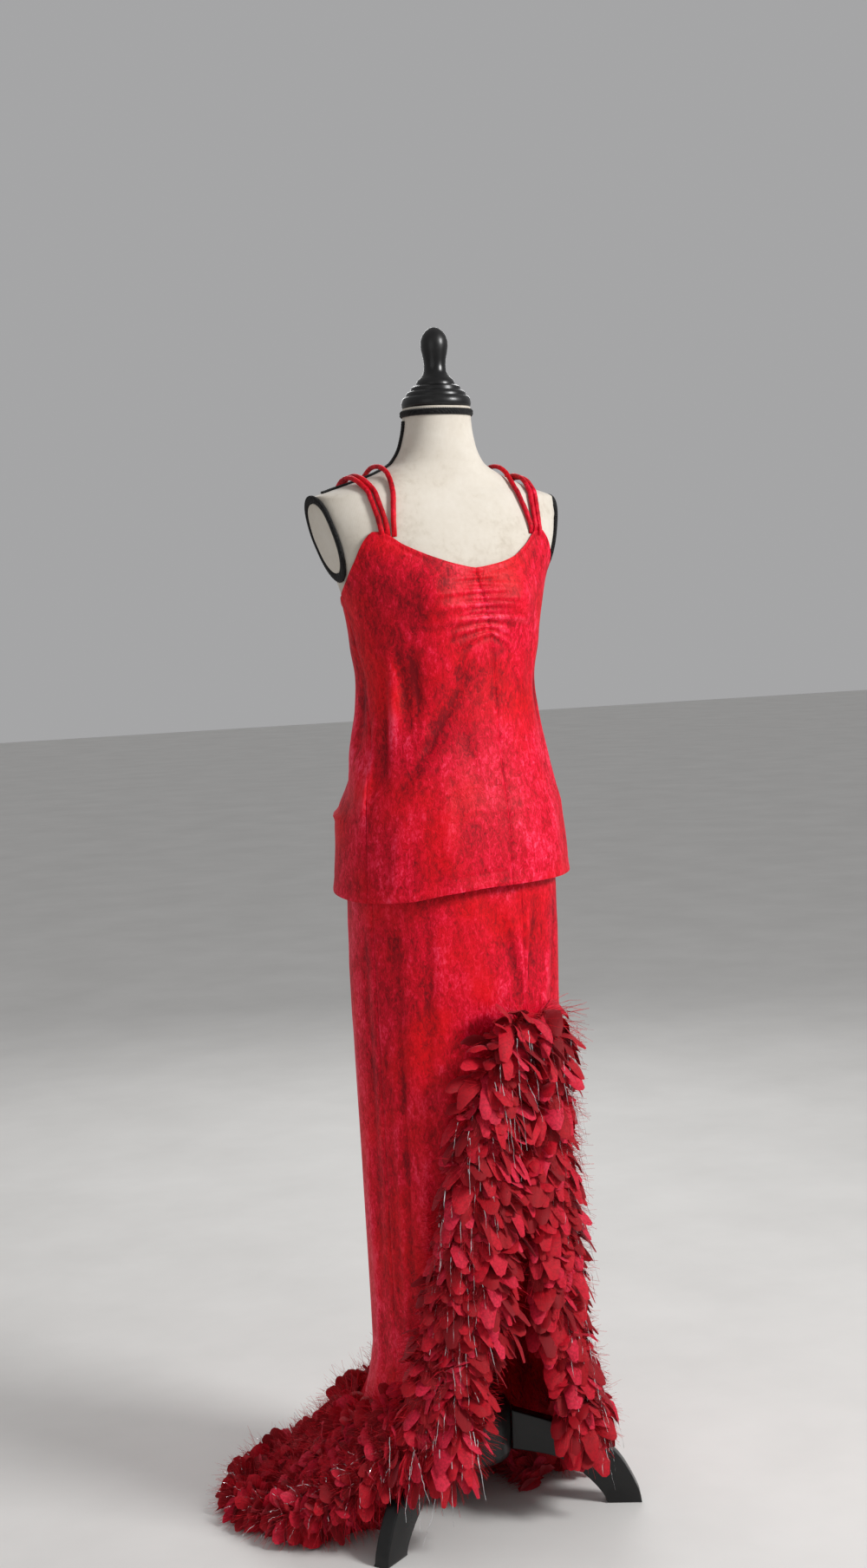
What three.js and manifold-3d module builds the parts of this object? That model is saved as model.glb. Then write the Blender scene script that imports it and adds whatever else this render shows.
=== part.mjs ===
// A two-piece showgirl dress on a dress form: a strappy tunic top with a ruched bust over a long
// slit skirt with a small train, edged with a feather boa. The form stands on a three-legged stand.
//
// Millimetres, +Z up. The wearer faces -Y and the wearer's left is +X. The working axis is the
// stand's pole. A turn is an angle about that axis in degrees: 0 at the front, 90 at the wearer's
// left and 180 at the back. The group is moved at the end, so that the origin is at the middle of
// the footprint, on the floor.
import * as THREE from "three";
import { mergeVertices } from "three/addons/utils/BufferGeometryUtils.js";
import Module from "manifold-3d";

const wasm = await Module();
wasm.setup();

const { degToRad, radToDeg, lerp, clamp, smoothstep } = THREE.MathUtils;

// Driving dimensions
const CLOTH = 2; // thickness of the velvet, doubled at its turnings
const SEAM_GAP = 0.3; // between the panels of one garment, and between a piece and its seat
const CLING = 3.3; // from the form's skin to the outside of cloth that lies on it
const WAIST_HEIGHT = 1152;
const BAND_HEIGHT = 26; // the skirt's waistband
const SLIT_TOP = 745;
const SLIT_SEAM = 24; // turn of the front seam that the slit opens
const FLARE_TOP = 260; // the skirt hangs straight down to here, then spreads into the train
const STRAP_WIDTH = 7.4;
const BRAID = { width: 8, thickness: 3 };
const BOA_CORE = 11; // radius of the boa's cord
const BOA_REACH = 50; // from the middle of the cord to a feather's tip
const FEATHER_FLOOR = 2.6; // the feathers lie this far clear of the floor
const POLE_RADIUS = 14;
const NECK_TOP = 1582;

// The form: half breadth, and depth in front of and behind its middle, which shifts to the back
// at the shoulders.
const FORM_SECTIONS = [
  { z: 826, half: 143, front: 98, back: 108, shift: 0 },
  { z: 850, half: 147, front: 105, back: 116, shift: 0 },
  { z: 900, half: 148.5, front: 109, back: 121, shift: 0 },
  { z: 950, half: 148.5, front: 108, back: 121, shift: 0 },
  { z: 1000, half: 142, front: 105, back: 110, shift: 0 },
  { z: 1060, half: 131, front: 100, back: 97, shift: 0 },
  { z: 1110, half: 121, front: 95, back: 88, shift: 0 },
  { z: 1152, half: 117, front: 92, back: 84, shift: 0 },
  { z: 1200, half: 121, front: 95, back: 86, shift: 0 },
  { z: 1250, half: 131, front: 100, back: 91, shift: 0 },
  { z: 1300, half: 141, front: 103, back: 96, shift: 0 },
  { z: 1340, half: 152, front: 101, back: 100, shift: 2 },
  { z: 1380, half: 171, front: 98, back: 98, shift: 8 },
  { z: 1410, half: 183, front: 94, back: 92, shift: 14 },
  { z: 1440, half: 190, front: 86, back: 78, shift: 20 },
  { z: 1457, half: 190, front: 79, back: 66, shift: 22 },
  { z: 1468, half: 162, front: 73, back: 58, shift: 22 },
  { z: 1480, half: 124, front: 66, back: 52, shift: 18 },
  { z: 1492, half: 92, front: 58, back: 51, shift: 11 },
  { z: 1506, half: 68, front: 51, back: 52, shift: 5 },
  { z: 1530, half: 54, front: 47, back: 50, shift: 1 },
  { z: 1560, half: 48, front: 45, back: 47, shift: 0 },
  { z: NECK_TOP, half: 47, front: 45, back: 46, shift: 0 },
];
const SECTION_POWER = 2.2;
const BUST = { z: 1316, turn: 29, rise: 15, wide: 18, tall: 40 };

// The flat where each arm would be: a plane that leans out at the top.
const ARM_FLAT = { top: { x: 184, z: 1457 }, bottom: { x: 152, z: 1337 }, thickness: 5 };

// How the top hangs below the bust.
const TOP_HANG = [
  { z: 895, half: 172, front: 134, back: 139 },
  { z: 960, half: 168, front: 131, back: 136 },
  { z: 1022, half: 161, front: 124, back: 129 },
  { z: 1049, half: 153, front: 119, back: 123 },
  { z: 1088, half: 142, front: 113, back: 112 },
  { z: 1128, half: 135, front: 109, back: 104 },
  { z: 1165, half: 131, front: 107, back: 100 },
  { z: 1202, half: 129, front: 106, back: 98 },
  { z: 1256, half: 137, front: 107, back: 98 },
  { z: 1300, half: 138, front: 100, back: 94 },
  { z: 1420, half: 138, front: 80, back: 80 },
];
// The top's upper edge: the V neck, the points that the straps leave from, and the armholes.
const TOP_EDGE = [
  { turn: -180, z: 1322 },
  { turn: -150, z: 1324 },
  { turn: -140, z: 1328 },
  { turn: -128, z: 1322 },
  { turn: -110, z: 1314 },
  { turn: -98, z: 1324 },
  { turn: -86, z: 1341 },
  { turn: -74, z: 1368 },
  { turn: -65, z: 1402 },
  { turn: -62, z: 1409 },
  { turn: -58.5, z: 1408 },
  { turn: -48, z: 1390 },
  { turn: -33, z: 1374 },
  { turn: -15, z: 1362 },
  { turn: 0, z: 1357 },
  { turn: 15, z: 1361 },
  { turn: 33, z: 1371 },
  { turn: 46, z: 1388 },
  { turn: 56.5, z: 1408 },
  { turn: 60, z: 1409 },
  { turn: 63, z: 1402 },
  { turn: 72, z: 1370 },
  { turn: 85, z: 1341 },
  { turn: 98, z: 1324 },
  { turn: 110, z: 1314 },
  { turn: 128, z: 1322 },
  { turn: 140, z: 1328 },
  { turn: 150, z: 1324 },
  { turn: 180, z: 1322 },
];
const TOP_HEM = [
  { turn: -180, z: 916 },
  { turn: -118, z: 912 },
  { turn: -75, z: 903 },
  { turn: -50, z: 906 },
  { turn: -30, z: 914 },
  { turn: 0, z: 920 },
  { turn: 60, z: 922 },
  { turn: 120, z: 919 },
  { turn: 180, z: 916 },
];
// The top's seams wander as the cloth twists a little to the wearer's left below the bust.
const TOP_SEAMS = [
  { z: 900, right: -72, middle: 10, left: 88 },
  { z: 1063, right: -76, middle: 13, left: 89 },
  { z: 1133, right: -80, middle: 13, left: 90 },
  { z: 1190, right: -86, middle: 12, left: 92 },
  { z: 1277, right: -92, middle: 7, left: 95 },
  { z: 1357, right: -97, middle: 0, left: 97 },
];
// Folds: ridges rise and troughs sink between two places, with soft ends.
const TOP_FOLDS = [
  { turn: -64, z: 1240, endTurn: -63, endZ: 1110, rise: 4, width: 9 },
  { turn: -55, z: 1246, endTurn: -57, endZ: 1180, rise: -4, width: 9 },
  { turn: -46, z: 1215, endTurn: -45, endZ: 1150, rise: -3, width: 8 },
  { turn: -66, z: 1145, endTurn: -70, endZ: 1040, rise: -4, width: 9 },
  { turn: -10, z: 1225, endTurn: -31, endZ: 1125, rise: -4, width: 13 },
  { turn: -29, z: 1130, endTurn: -54, endZ: 1098, rise: -4, width: 12 },
  { turn: -100, z: 1125, endTurn: -80, endZ: 1045, rise: 6, width: 13 },
  { turn: -108, z: 1075, endTurn: -92, endZ: 1010, rise: -5, width: 14 },
  { turn: -128, z: 1026, endTurn: -104, endZ: 1010, rise: 8, width: 17 },
  { turn: 52, z: 1230, endTurn: 60, endZ: 1130, rise: -4, width: 10 },
  { turn: 66, z: 1150, endTurn: 74, endZ: 1030, rise: 5, width: 12 },
  { turn: 30, z: 1010, endTurn: 36, endZ: 925, rise: 4, width: 16 },
  { turn: 100, z: 1120, endTurn: 118, endZ: 1030, rise: 5, width: 13 },
  { turn: 140, z: 1230, endTurn: 128, endZ: 1090, rise: -5, width: 14 },
  { turn: 165, z: 1130, endTurn: 140, endZ: 1040, rise: 6, width: 14 },
  { turn: -160, z: 1215, endTurn: -145, endZ: 1080, rise: -5, width: 14 },
  { turn: -170, z: 1080, endTurn: -150, endZ: 930, rise: 4, width: 15 },
];
// The gathers of the ruched bust, which fan out from the middle seam.
const RUCHE = { start: 0.72, folds: 10, rise: 3, spread: 27 };

// How the skirt hangs below the hips.
const SKIRT_HANG = [
  { z: 950, half: 150, front: 114, back: 122 },
  { z: 905, half: 152.5, front: 117, back: 126 },
  { z: 745, half: 149, front: 118, back: 122 },
  { z: 500, half: 143, front: 116, back: 118 },
  { z: FLARE_TOP, half: 139, front: 114, back: 116 },
];
const SKIRT_SEAMS = { right: -76, left: 95 };
const SKIRT_FOLDS = [
  { turn: -66, z: 860, endTurn: -66, endZ: 300, rise: -2.5, width: 7 },
  { turn: -56, z: 700, endTurn: -58, endZ: 200, rise: 3, width: 7 },
  { turn: -40, z: 760, endTurn: -46, endZ: 240, rise: -2.5, width: 9 },
  { turn: 2, z: 880, endTurn: 20, endZ: 760, rise: -3, width: 7 },
  { turn: 12, z: 890, endTurn: 22, endZ: 770, rise: 3, width: 6 },
  { turn: 40, z: 890, endTurn: 28, endZ: 765, rise: -3, width: 7 },
  { turn: 62, z: 840, endTurn: 60, endZ: 300, rise: 3, width: 9 },
  { turn: -100, z: 800, endTurn: -98, endZ: 180, rise: 5, width: 9 },
  { turn: -118, z: 700, endTurn: -120, endZ: 160, rise: -6, width: 9 },
  { turn: -140, z: 820, endTurn: -138, endZ: 180, rise: 6, width: 10 },
  { turn: -160, z: 700, endTurn: -162, endZ: 180, rise: -6, width: 10 },
  { turn: 178, z: 820, endTurn: 180, endZ: 200, rise: 6, width: 10 },
  { turn: 156, z: 720, endTurn: 154, endZ: 170, rise: -6, width: 10 },
  { turn: 134, z: 780, endTurn: 132, endZ: 180, rise: 6, width: 9 },
  { turn: 112, z: 700, endTurn: 110, endZ: 170, rise: -4, width: 8 },
];
// The slit's edges below its top.
const SLIT = [
  { z: 100, right: -36, left: 42 },
  { z: 200, right: -35, left: 40 },
  { z: 340, right: -32, left: 37 },
  { z: 450, right: -28, left: 35 },
  { z: 540, right: -21, left: 32 },
  { z: 640, right: -8, left: 29 },
  { z: 700, right: 9, left: 26 },
  { z: SLIT_TOP, right: SLIT_SEAM, left: SLIT_SEAM },
];
// The skirt's hem seen from above, the height of its edge, and how far the cloth above it tents out
// over the stand's legs before it falls.
const HEM = [
  { turn: -180, reach: 290, z: 2.4, out: 0.45, up: 0.5 },
  { turn: -165, reach: 305, z: 2.4, out: 0.35, up: 0.42 },
  { turn: -150, reach: 322, z: 2.4, out: 0.2, up: 0.3 },
  { turn: -135, reach: 332, z: 2.4, out: 0.14, up: 0.24 },
  { turn: -118, reach: 328, z: 2.4, out: 0.12, up: 0.22 },
  { turn: -105, reach: 295, z: 8, out: 0.12, up: 0.22 },
  { turn: -95, reach: 262, z: 24, out: 0.12, up: 0.22 },
  { turn: -85, reach: 228, z: 48, out: 0.12, up: 0.22 },
  { turn: -75, reach: 196, z: 84, out: 0.12, up: 0.25 },
  { turn: -66, reach: 172, z: 116, out: 0.12, up: 0.25 },
  { turn: -52, reach: 153, z: 124, out: 0.12, up: 0.25 },
  { turn: -36, reach: 148, z: 116, out: 0.12, up: 0.25 },
  { turn: 41, reach: 148, z: 116, out: 0.12, up: 0.25 },
  { turn: 60, reach: 151, z: 124, out: 0.12, up: 0.25 },
  { turn: 70, reach: 153, z: 118, out: 0.12, up: 0.25 },
  { turn: 80, reach: 157, z: 92, out: 0.12, up: 0.25 },
  { turn: 90, reach: 162, z: 60, out: 0.12, up: 0.22 },
  { turn: 112, reach: 178, z: 12, out: 0.12, up: 0.22 },
  { turn: 135, reach: 214, z: 2.4, out: 0.14, up: 0.24 },
  { turn: 150, reach: 242, z: 2.4, out: 0.2, up: 0.3 },
  { turn: 165, reach: 268, z: 2.4, out: 0.35, up: 0.42 },
  { turn: 180, reach: 290, z: 2.4, out: 0.45, up: 0.5 },
];

// Each strap's place at the top's front edge, on the shoulder's crest and at the back edge.
const STRAPS = [
  { name: "1", front: 107, crest: 90, back: 92 },
  { name: "2", front: 114.8, crest: 124, back: 104 },
  { name: "3", front: 122.6, crest: 132.4, back: 112 },
];

// The stand's leg, a board seen from its side, from the hub outward.
const LEG_TOP = [[59, 142], [124, 122], [176, 102], [214, 69], [239, 24], [245, 0]];
const LEG_UNDERSIDE = [[195, 0], [187, 17], [162, 44], [124, 70], [59, 84]];
const LEG_BOARD = 22;
const LEG_TURNS = { right: -60, left: 60, back: 180 };
const HUB_RADIUS = 58.6;
const HUB_TOP = 215;

// Materials
const material = (color, roughness, metalness = 0) =>
  new THREE.MeshStandardMaterial({ color, roughness, metalness });
const velvet = material(0xb0101c, 0.6);
const feather = material(0xa00c1a, 0.85);
const jersey = material(0xd9cdb4, 0.9);
const blackWood = material(0x0b0b0c, 0.35);
const braidCord = material(0x0d0c0c, 0.8);

// Tables and curves

// The value of a table's column at a place between its rows, on a smooth curve with no overshoot.
function tableValue(rows, key, column, at) {
  const ordered = rows[0][key] < rows[rows.length - 1][key] ? rows : [...rows].reverse();
  const place = clamp(at, ordered[0][key], ordered[ordered.length - 1][key]);
  let i = 0;
  while (i < ordered.length - 2 && place > ordered[i + 1][key]) i += 1;
  const slope = (k) => {
    const a = ordered[k];
    const b = ordered[k + 1];
    return a && b ? (b[column] - a[column]) / (b[key] - a[key]) : 0;
  };
  const tangent = (before, after) => (before * after > 0 ? (2 * before * after) / (before + after) : 0);
  const step = ordered[i + 1][key] - ordered[i][key];
  const t = (place - ordered[i][key]) / step;
  const start = tangent(slope(i - 1), slope(i)) * step;
  const end = tangent(slope(i), slope(i + 1)) * step;
  const rise = ordered[i + 1][column] - ordered[i][column];
  return (
    ordered[i][column] +
    t * start +
    t * t * (3 * rise - 2 * start - end) +
    t * t * t * (start + end - 2 * rise)
  );
}

const wrapTurn = (turn) => turn - 360 * Math.round(turn / 360);
const smoothMax = (a, b, blend) => (a + b + Math.hypot(a - b, blend)) / 2;
const bell = (x) => Math.exp(-x * x);

// The radius of a rounded section at a turn, with its own depth in front and behind.
function sectionRadius(half, front, back, turn) {
  const angle = degToRad(turn);
  const depth = Math.cos(angle) > 0 ? front : back;
  const across = Math.abs(Math.sin(angle)) / half;
  const along = Math.abs(Math.cos(angle)) / depth;
  return (across ** SECTION_POWER + along ** SECTION_POWER) ** (-1 / SECTION_POWER);
}

const tableRadius = (rows, turn, z) =>
  sectionRadius(
    tableValue(rows, "z", "half", z),
    tableValue(rows, "z", "front", z),
    tableValue(rows, "z", "back", z),
    turn,
  );

// A point at a turn and a radius from the form's middle at that height.
function pointAt(turn, radius, z) {
  const angle = degToRad(turn);
  const shift = tableValue(FORM_SECTIONS, "z", "shift", z);
  return new THREE.Vector3(radius * Math.sin(angle), shift - radius * Math.cos(angle), z);
}

function formRadius(turn, z) {
  const sideways = (Math.abs(wrapTurn(turn)) - BUST.turn) / BUST.wide;
  const bust = BUST.rise * bell(sideways) * bell((z - BUST.z) / BUST.tall);
  return tableRadius(FORM_SECTIONS, turn, z) + bust;
}

// The form's radius and a distance out from its skin, more where the skin slopes.
function skinRadius(turn, z, distance) {
  const slope = (formRadius(turn, z + 2) - formRadius(turn, z - 2)) / 4;
  return formRadius(turn, z) + distance * Math.hypot(1, slope);
}

// How far the folds in a table move the cloth in or out at a place.
function foldRise(folds, turn, z) {
  let rise = 0;
  for (const fold of folds) {
    const along = clamp((z - fold.z) / (fold.endZ - fold.z), 0, 1);
    const beyond = Math.max(fold.endZ - z, z - fold.z, 0) / 24;
    const middle = lerp(fold.turn, fold.endTurn, along);
    const swell = 0.55 + 0.45 * Math.sin(Math.PI * along);
    rise += fold.rise * swell * bell(beyond) * bell(wrapTurn(turn - middle) / fold.width);
  }
  return rise;
}

// Solids

function solidFrom(geometry) {
  const bare = new THREE.BufferGeometry();
  bare.setAttribute("position", geometry.getAttribute("position"));
  bare.setIndex(geometry.index);
  const merged = mergeVertices(bare, 1e-3);
  return new wasm.Manifold(
    new wasm.Mesh({
      numProp: 3,
      vertProperties: new Float32Array(merged.attributes.position.array),
      triVerts: new Uint32Array(merged.index.array),
    }),
  );
}

function geometryFrom(solid) {
  const mesh = solid.getMesh();
  const geometry = new THREE.BufferGeometry();
  geometry.setAttribute("position", new THREE.BufferAttribute(mesh.vertProperties, mesh.numProp));
  geometry.setIndex(new THREE.BufferAttribute(mesh.triVerts, 1));
  return geometry;
}

// A closed body from points and triangles.
function bodyGeometry(points, faces) {
  const geometry = new THREE.BufferGeometry().setFromPoints(points);
  geometry.setIndex(faces);
  return geometry;
}

const largestBody = (solid) =>
  solid.decompose().sort((a, b) => b.volume() - a.volume())[0];

// The way out of a surface that is a function of a turn and a place up the cloth.
function surfaceOut(surface, turn, up, upStep) {
  const over = surface(turn + 1, up).sub(surface(turn - 1, up));
  const rise = surface(turn, up + upStep).sub(surface(turn, up - upStep));
  return over.cross(rise).normalize();
}

// A cloth wall behind a grid of outer points, each with the way out of the cloth. Rows go up the
// cloth and columns go to the wearer's left. A lift above 0 makes it fatter on both sides, to cut
// what must stay clear of it.
function wallGeometry(grid, lift = 0) {
  const rows = grid.length;
  const columns = grid[0].length;
  const points = [];
  for (const move of [lift, -CLOTH - lift])
    for (const { point, out } of grid.flat()) points.push(point.clone().addScaledVector(out, move));
  const at = (side, r, c) => side * rows * columns + r * columns + c;
  const faces = [];
  const quad = (a, b, c, d) => faces.push(a, b, c, a, c, d);
  for (let r = 0; r < rows - 1; r++)
    for (let c = 0; c < columns - 1; c++) {
      quad(at(0, r, c), at(0, r, c + 1), at(0, r + 1, c + 1), at(0, r + 1, c));
      quad(at(1, r, c), at(1, r + 1, c), at(1, r + 1, c + 1), at(1, r, c + 1));
    }
  for (let c = 0; c < columns - 1; c++) {
    quad(at(1, 0, c), at(1, 0, c + 1), at(0, 0, c + 1), at(0, 0, c));
    quad(at(0, rows - 1, c), at(0, rows - 1, c + 1), at(1, rows - 1, c + 1), at(1, rows - 1, c));
  }
  for (let r = 0; r < rows - 1; r++) {
    quad(at(0, r, 0), at(0, r + 1, 0), at(1, r + 1, 0), at(1, r, 0));
    quad(at(1, r, columns - 1), at(1, r + 1, columns - 1), at(0, r + 1, columns - 1), at(0, r, columns - 1));
  }
  return bodyGeometry(points, faces);
}

// Rings of points, all of one count and each turning the same way, joined into a closed body.
function ringGeometry(rings, closed = false) {
  const count = rings[0].length;
  const points = rings.flat();
  const faces = [];
  const last = closed ? rings.length : rings.length - 1;
  for (let r = 0; r < last; r++)
    for (let i = 0; i < count; i++) {
      const j = (i + 1) % count;
      const above = ((r + 1) % rings.length) * count;
      faces.push(r * count + i, r * count + j, above + j);
      faces.push(r * count + i, above + j, above + i);
    }
  if (!closed) {
    const top = (rings.length - 1) * count;
    for (let i = 1; i < count - 1; i++) {
      faces.push(0, i + 1, i);
      faces.push(top, top + i, top + i + 1);
    }
  }
  return bodyGeometry(points, faces);
}

// A cord or braid: a section swept along points, with the way out of the surface at each. The
// section's points are pairs: across the path, and out of the surface.
function sweepGeometry(path, outs, section, closed = false) {
  const count = path.length;
  const rings = path.map((point, i) => {
    const before = path[closed ? (i + count - 1) % count : Math.max(i - 1, 0)];
    const after = path[closed ? (i + 1) % count : Math.min(i + 1, count - 1)];
    const along = after.clone().sub(before).normalize();
    const across = outs[i].clone().cross(along).normalize();
    const out = along.clone().cross(across).normalize();
    return section.map(([a, b]) => point.clone().addScaledVector(across, a).addScaledVector(out, b));
  });
  return ringGeometry(rings, closed);
}

function roundSection(radius, sides) {
  return Array.from({ length: sides }, (_, i) => {
    const angle = (2 * Math.PI * (i + 0.5)) / sides;
    return [radius * Math.cos(angle), radius * Math.sin(angle)];
  });
}

const steps = (count, from = 0, to = 1) =>
  Array.from({ length: count + 1 }, (_, i) => lerp(from, to, i / count));

const part = new THREE.Group();
function addPiece(name, geometry, finish) {
  const flat = geometry.index ? geometry.toNonIndexed() : geometry;
  flat.computeVertexNormals();
  const piece = new THREE.Mesh(flat, finish);
  piece.name = name;
  part.add(piece);
  return piece;
}

// The form

const inForm = (p) => {
  if (p.z >= NECK_TOP) return false;
  const y = p.y - tableValue(FORM_SECTIONS, "z", "shift", p.z);
  return Math.hypot(p.x, y) < formRadius(radToDeg(Math.atan2(p.x, -y)), p.z);
};

// Where a ray that starts in the form leaves it, and the way out of the skin there.
function formSurface(origin, direction) {
  const stride = 4;
  const at = (distance) => origin.clone().addScaledVector(direction, distance);
  let near = 0;
  while (near < 400 && inForm(at(near + stride))) near += stride;
  let far = near + stride;
  for (let i = 0; i < 20; i++) {
    const middle = (near + far) / 2;
    if (inForm(at(middle))) near = middle;
    else far = middle;
  }
  return at(near);
}

function formOut(p) {
  const probe = 1;
  const depth = (q) => {
    const y = q.y - tableValue(FORM_SECTIONS, "z", "shift", q.z);
    return Math.hypot(q.x, y) / formRadius(radToDeg(Math.atan2(q.x, -y)), q.z);
  };
  const here = depth(p);
  return new THREE.Vector3(
    depth(p.clone().add(new THREE.Vector3(probe, 0, 0))) - here,
    depth(p.clone().add(new THREE.Vector3(0, probe, 0))) - here,
    depth(p.clone().add(new THREE.Vector3(0, 0, probe))) - here,
  ).normalize();
}

// The plane of an arm flat: a point on it, its way out, and its two directions.
function armPlane(side) {
  const { top, bottom } = ARM_FLAT;
  const up = new THREE.Vector3(side * (top.x - bottom.x), 0, top.z - bottom.z).normalize();
  const back = new THREE.Vector3(0, 1, 0);
  const out = new THREE.Vector3(up.z * side, 0, -up.x * side);
  return { origin: new THREE.Vector3(side * top.x, 0, top.z), up, back, out };
}

// The egg-shaped outline of an arm flat, as pairs of distances back and up in its plane.
function armOutline(plane, count) {
  const middle = plane.origin.clone().addScaledVector(plane.up, -48);
  middle.y = 20;
  return steps(count - 1).map((t) => {
    const angle = 2 * Math.PI * t * ((count - 1) / count);
    const way = plane.back.clone().multiplyScalar(Math.cos(angle)).addScaledVector(plane.up, Math.sin(angle));
    const edge = formSurface(middle.clone().addScaledVector(plane.out, -0.5), way);
    edge.sub(plane.origin);
    return new THREE.Vector2(edge.dot(plane.back), edge.dot(plane.up));
  });
}

// A flat plate on an arm flat, from an outline and maybe a hole, both in the flat's own plane.
function armPlate(plane, outline, hole) {
  const shape = new THREE.Shape(outline);
  if (hole) shape.holes.push(new THREE.Path(hole));
  const plate = new THREE.ExtrudeGeometry(shape, { depth: ARM_FLAT.thickness, bevelEnabled: false });
  const out = plane.back.clone().cross(plane.up);
  const place = new THREE.Matrix4().makeBasis(plane.back, plane.up, out);
  const facesOut = out.dot(plane.out) > 0;
  const seat = plane.origin.clone().addScaledVector(plane.out, facesOut ? SEAM_GAP : SEAM_GAP + ARM_FLAT.thickness);
  return plate.applyMatrix4(place.setPosition(seat));
}

function scaledOutline(outline, scale) {
  const middle = outline.reduce((sum, p) => sum.add(p), new THREE.Vector2()).divideScalar(outline.length);
  return outline.map((p) => p.clone().sub(middle).multiplyScalar(scale).add(middle));
}

// The form before its arms are cut flat. A lift above 0 makes it fatter, to cut what lies on it.
function formBody(lift) {
  const columns = 30;
  const rings = FORM_SECTIONS.flatMap((row, i) => {
    const next = FORM_SECTIONS[i + 1];
    const between = next && row.z >= 1250 && row.z < 1440 ? [0, 0.5] : [0];
    return between.map((t) => {
      const z = next ? lerp(row.z, next.z, t) : row.z;
      return steps(columns - 1, 0, 360 - 360 / columns).map((turn) => {
        const skin = pointAt(turn, formRadius(turn, z), z);
        return skin.addScaledVector(formOut(skin), lift);
      });
    });
  });
  return solidFrom(ringGeometry(rings));
}

// What is left of a piece once it is cut clear of the form.
const clearOfForm = (geometry) =>
  geometryFrom(largestBody(solidFrom(geometry).subtract(formBody(0.35))));

function makeForm() {
  let torso = formBody(0);
  for (const [name, side] of [["right", -1], ["left", 1]]) {
    const plane = armPlane(side);
    const block = new THREE.BoxGeometry(100, 300, 250);
    const turned = new THREE.Matrix4().makeBasis(plane.out, plane.back, plane.out.clone().cross(plane.back));
    block.applyMatrix4(turned.setPosition(plane.origin.clone().addScaledVector(plane.out, 50)));
    torso = torso.subtract(solidFrom(block));
    const outline = armOutline(plane, 26);
    addPiece("form_arm_plate_" + name, armPlate(plane, scaledOutline(outline, 0.82)), jersey);
    addPiece(
      "braid_arm_" + name,
      armPlate(plane, scaledOutline(outline, 1.02), scaledOutline(outline, 0.835)),
      braidCord,
    );
  }
  addPiece("form_torso", geometryFrom(torso), jersey);
}

const BRAID_SECTION = [
  [-BRAID.width / 2, 0],
  [BRAID.width / 2, 0],
  [BRAID.width / 2 - 1.4, BRAID.thickness],
  [1.4 - BRAID.width / 2, BRAID.thickness],
];

// The crest of the shoulder above a place beside the neck.
function shoulderCrest(x) {
  let best = new THREE.Vector3();
  for (const y of steps(24, -30, 60)) {
    const low = new THREE.Vector3(x, y, 1400);
    const top = formSurface(low, new THREE.Vector3(0, 0, 1));
    if (top.z > best.z) best = top;
  }
  return best;
}

function makeBraids() {
  const level = NECK_TOP - BRAID.width;
  const ring = steps(23, 0, 345).map((turn) => pointAt(turn, formRadius(turn, level) + 1, level));
  const ringOuts = ring.map((p) => new THREE.Vector3(p.x, p.y, 0).normalize());
  addPiece("braid_neck", sweepGeometry(ring, ringOuts, BRAID_SECTION, true), braidCord);
  for (const [name, side] of [["right", -1], ["left", 1]]) {
    const path = [];
    const outs = [];
    for (const x of [171, 150, 130, 112, 96, 82, 70]) {
      const crest = shoulderCrest(side * x);
      const out = formOut(crest);
      path.push(crest.addScaledVector(out, 0.4));
      outs.push(out);
    }
    const neckSide = side * 100;
    for (const z of [1508, 1524, 1544, 1564]) {
      const skin = pointAt(neckSide, formRadius(neckSide, z), z);
      const out = formOut(skin);
      path.push(skin.addScaledVector(out, 0.4));
      outs.push(out);
    }
    addPiece("braid_shoulder_" + name, clearOfForm(sweepGeometry(path, outs, BRAID_SECTION)), braidCord);
  }
}

function makeNeckCap() {
  const base = NECK_TOP + SEAM_GAP;
  const profile = [
    [0, 0], [47, 0], [49, 5], [47, 14], [42, 17], [41, 22], [35, 25], [34, 30], [27, 33],
    [25, 39], [17, 46], [15, 60], [19, 82], [17, 98], [9, 109], [0, 112],
  ];
  const lathe = new THREE.LatheGeometry(profile.map(([r, z]) => new THREE.Vector2(r, z)), 18);
  lathe.rotateX(Math.PI / 2);
  lathe.translate(0, 0, base);
  addPiece("form_neck_cap", lathe, blackWood);
}

// The stand

function makeStand() {
  const top = FORM_SECTIONS[0].z - SEAM_GAP;
  const bottom = HUB_TOP + SEAM_GAP;
  const pole = new THREE.CylinderGeometry(POLE_RADIUS, POLE_RADIUS, top - bottom, 16);
  pole.rotateX(Math.PI / 2);
  pole.translate(0, 0, (top + bottom) / 2);
  addPiece("form_pole", pole, blackWood);

  const hubProfile = [
    [0, 66], [40, 66], [54, 74], [HUB_RADIUS, 84], [HUB_RADIUS, 146], [52, 156], [38, 164],
    [34, 176], [40, 186], [38, 196], [24, 204], [21, HUB_TOP], [0, HUB_TOP],
  ];
  const hub = new THREE.LatheGeometry(hubProfile.map(([r, z]) => new THREE.Vector2(r, z)), 18);
  hub.rotateX(Math.PI / 2);
  addPiece("stand_hub", hub, blackWood);

  for (const [name, turn] of Object.entries(LEG_TURNS))
    addPiece("stand_leg_" + name, legGeometry(turn, 0), blackWood);
}

function legGeometry(turn, lift) {
  const side = (pairs) => new THREE.SplineCurve(pairs.map(([r, z]) => new THREE.Vector2(r, z)));
  const shape = new THREE.Shape([...side(LEG_TOP).getPoints(12), ...side(LEG_UNDERSIDE).getPoints(8)]);
  const board = new THREE.ExtrudeGeometry(shape, { depth: LEG_BOARD + 2 * lift, bevelEnabled: false });
  board.translate(0, 0, -LEG_BOARD / 2 - lift);
  board.rotateX(Math.PI / 2);
  board.rotateZ(degToRad(turn - 90));
  return board;
}

// The top

const topSeam = (name, z) => tableValue(TOP_SEAMS, "z", name, z);

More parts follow.
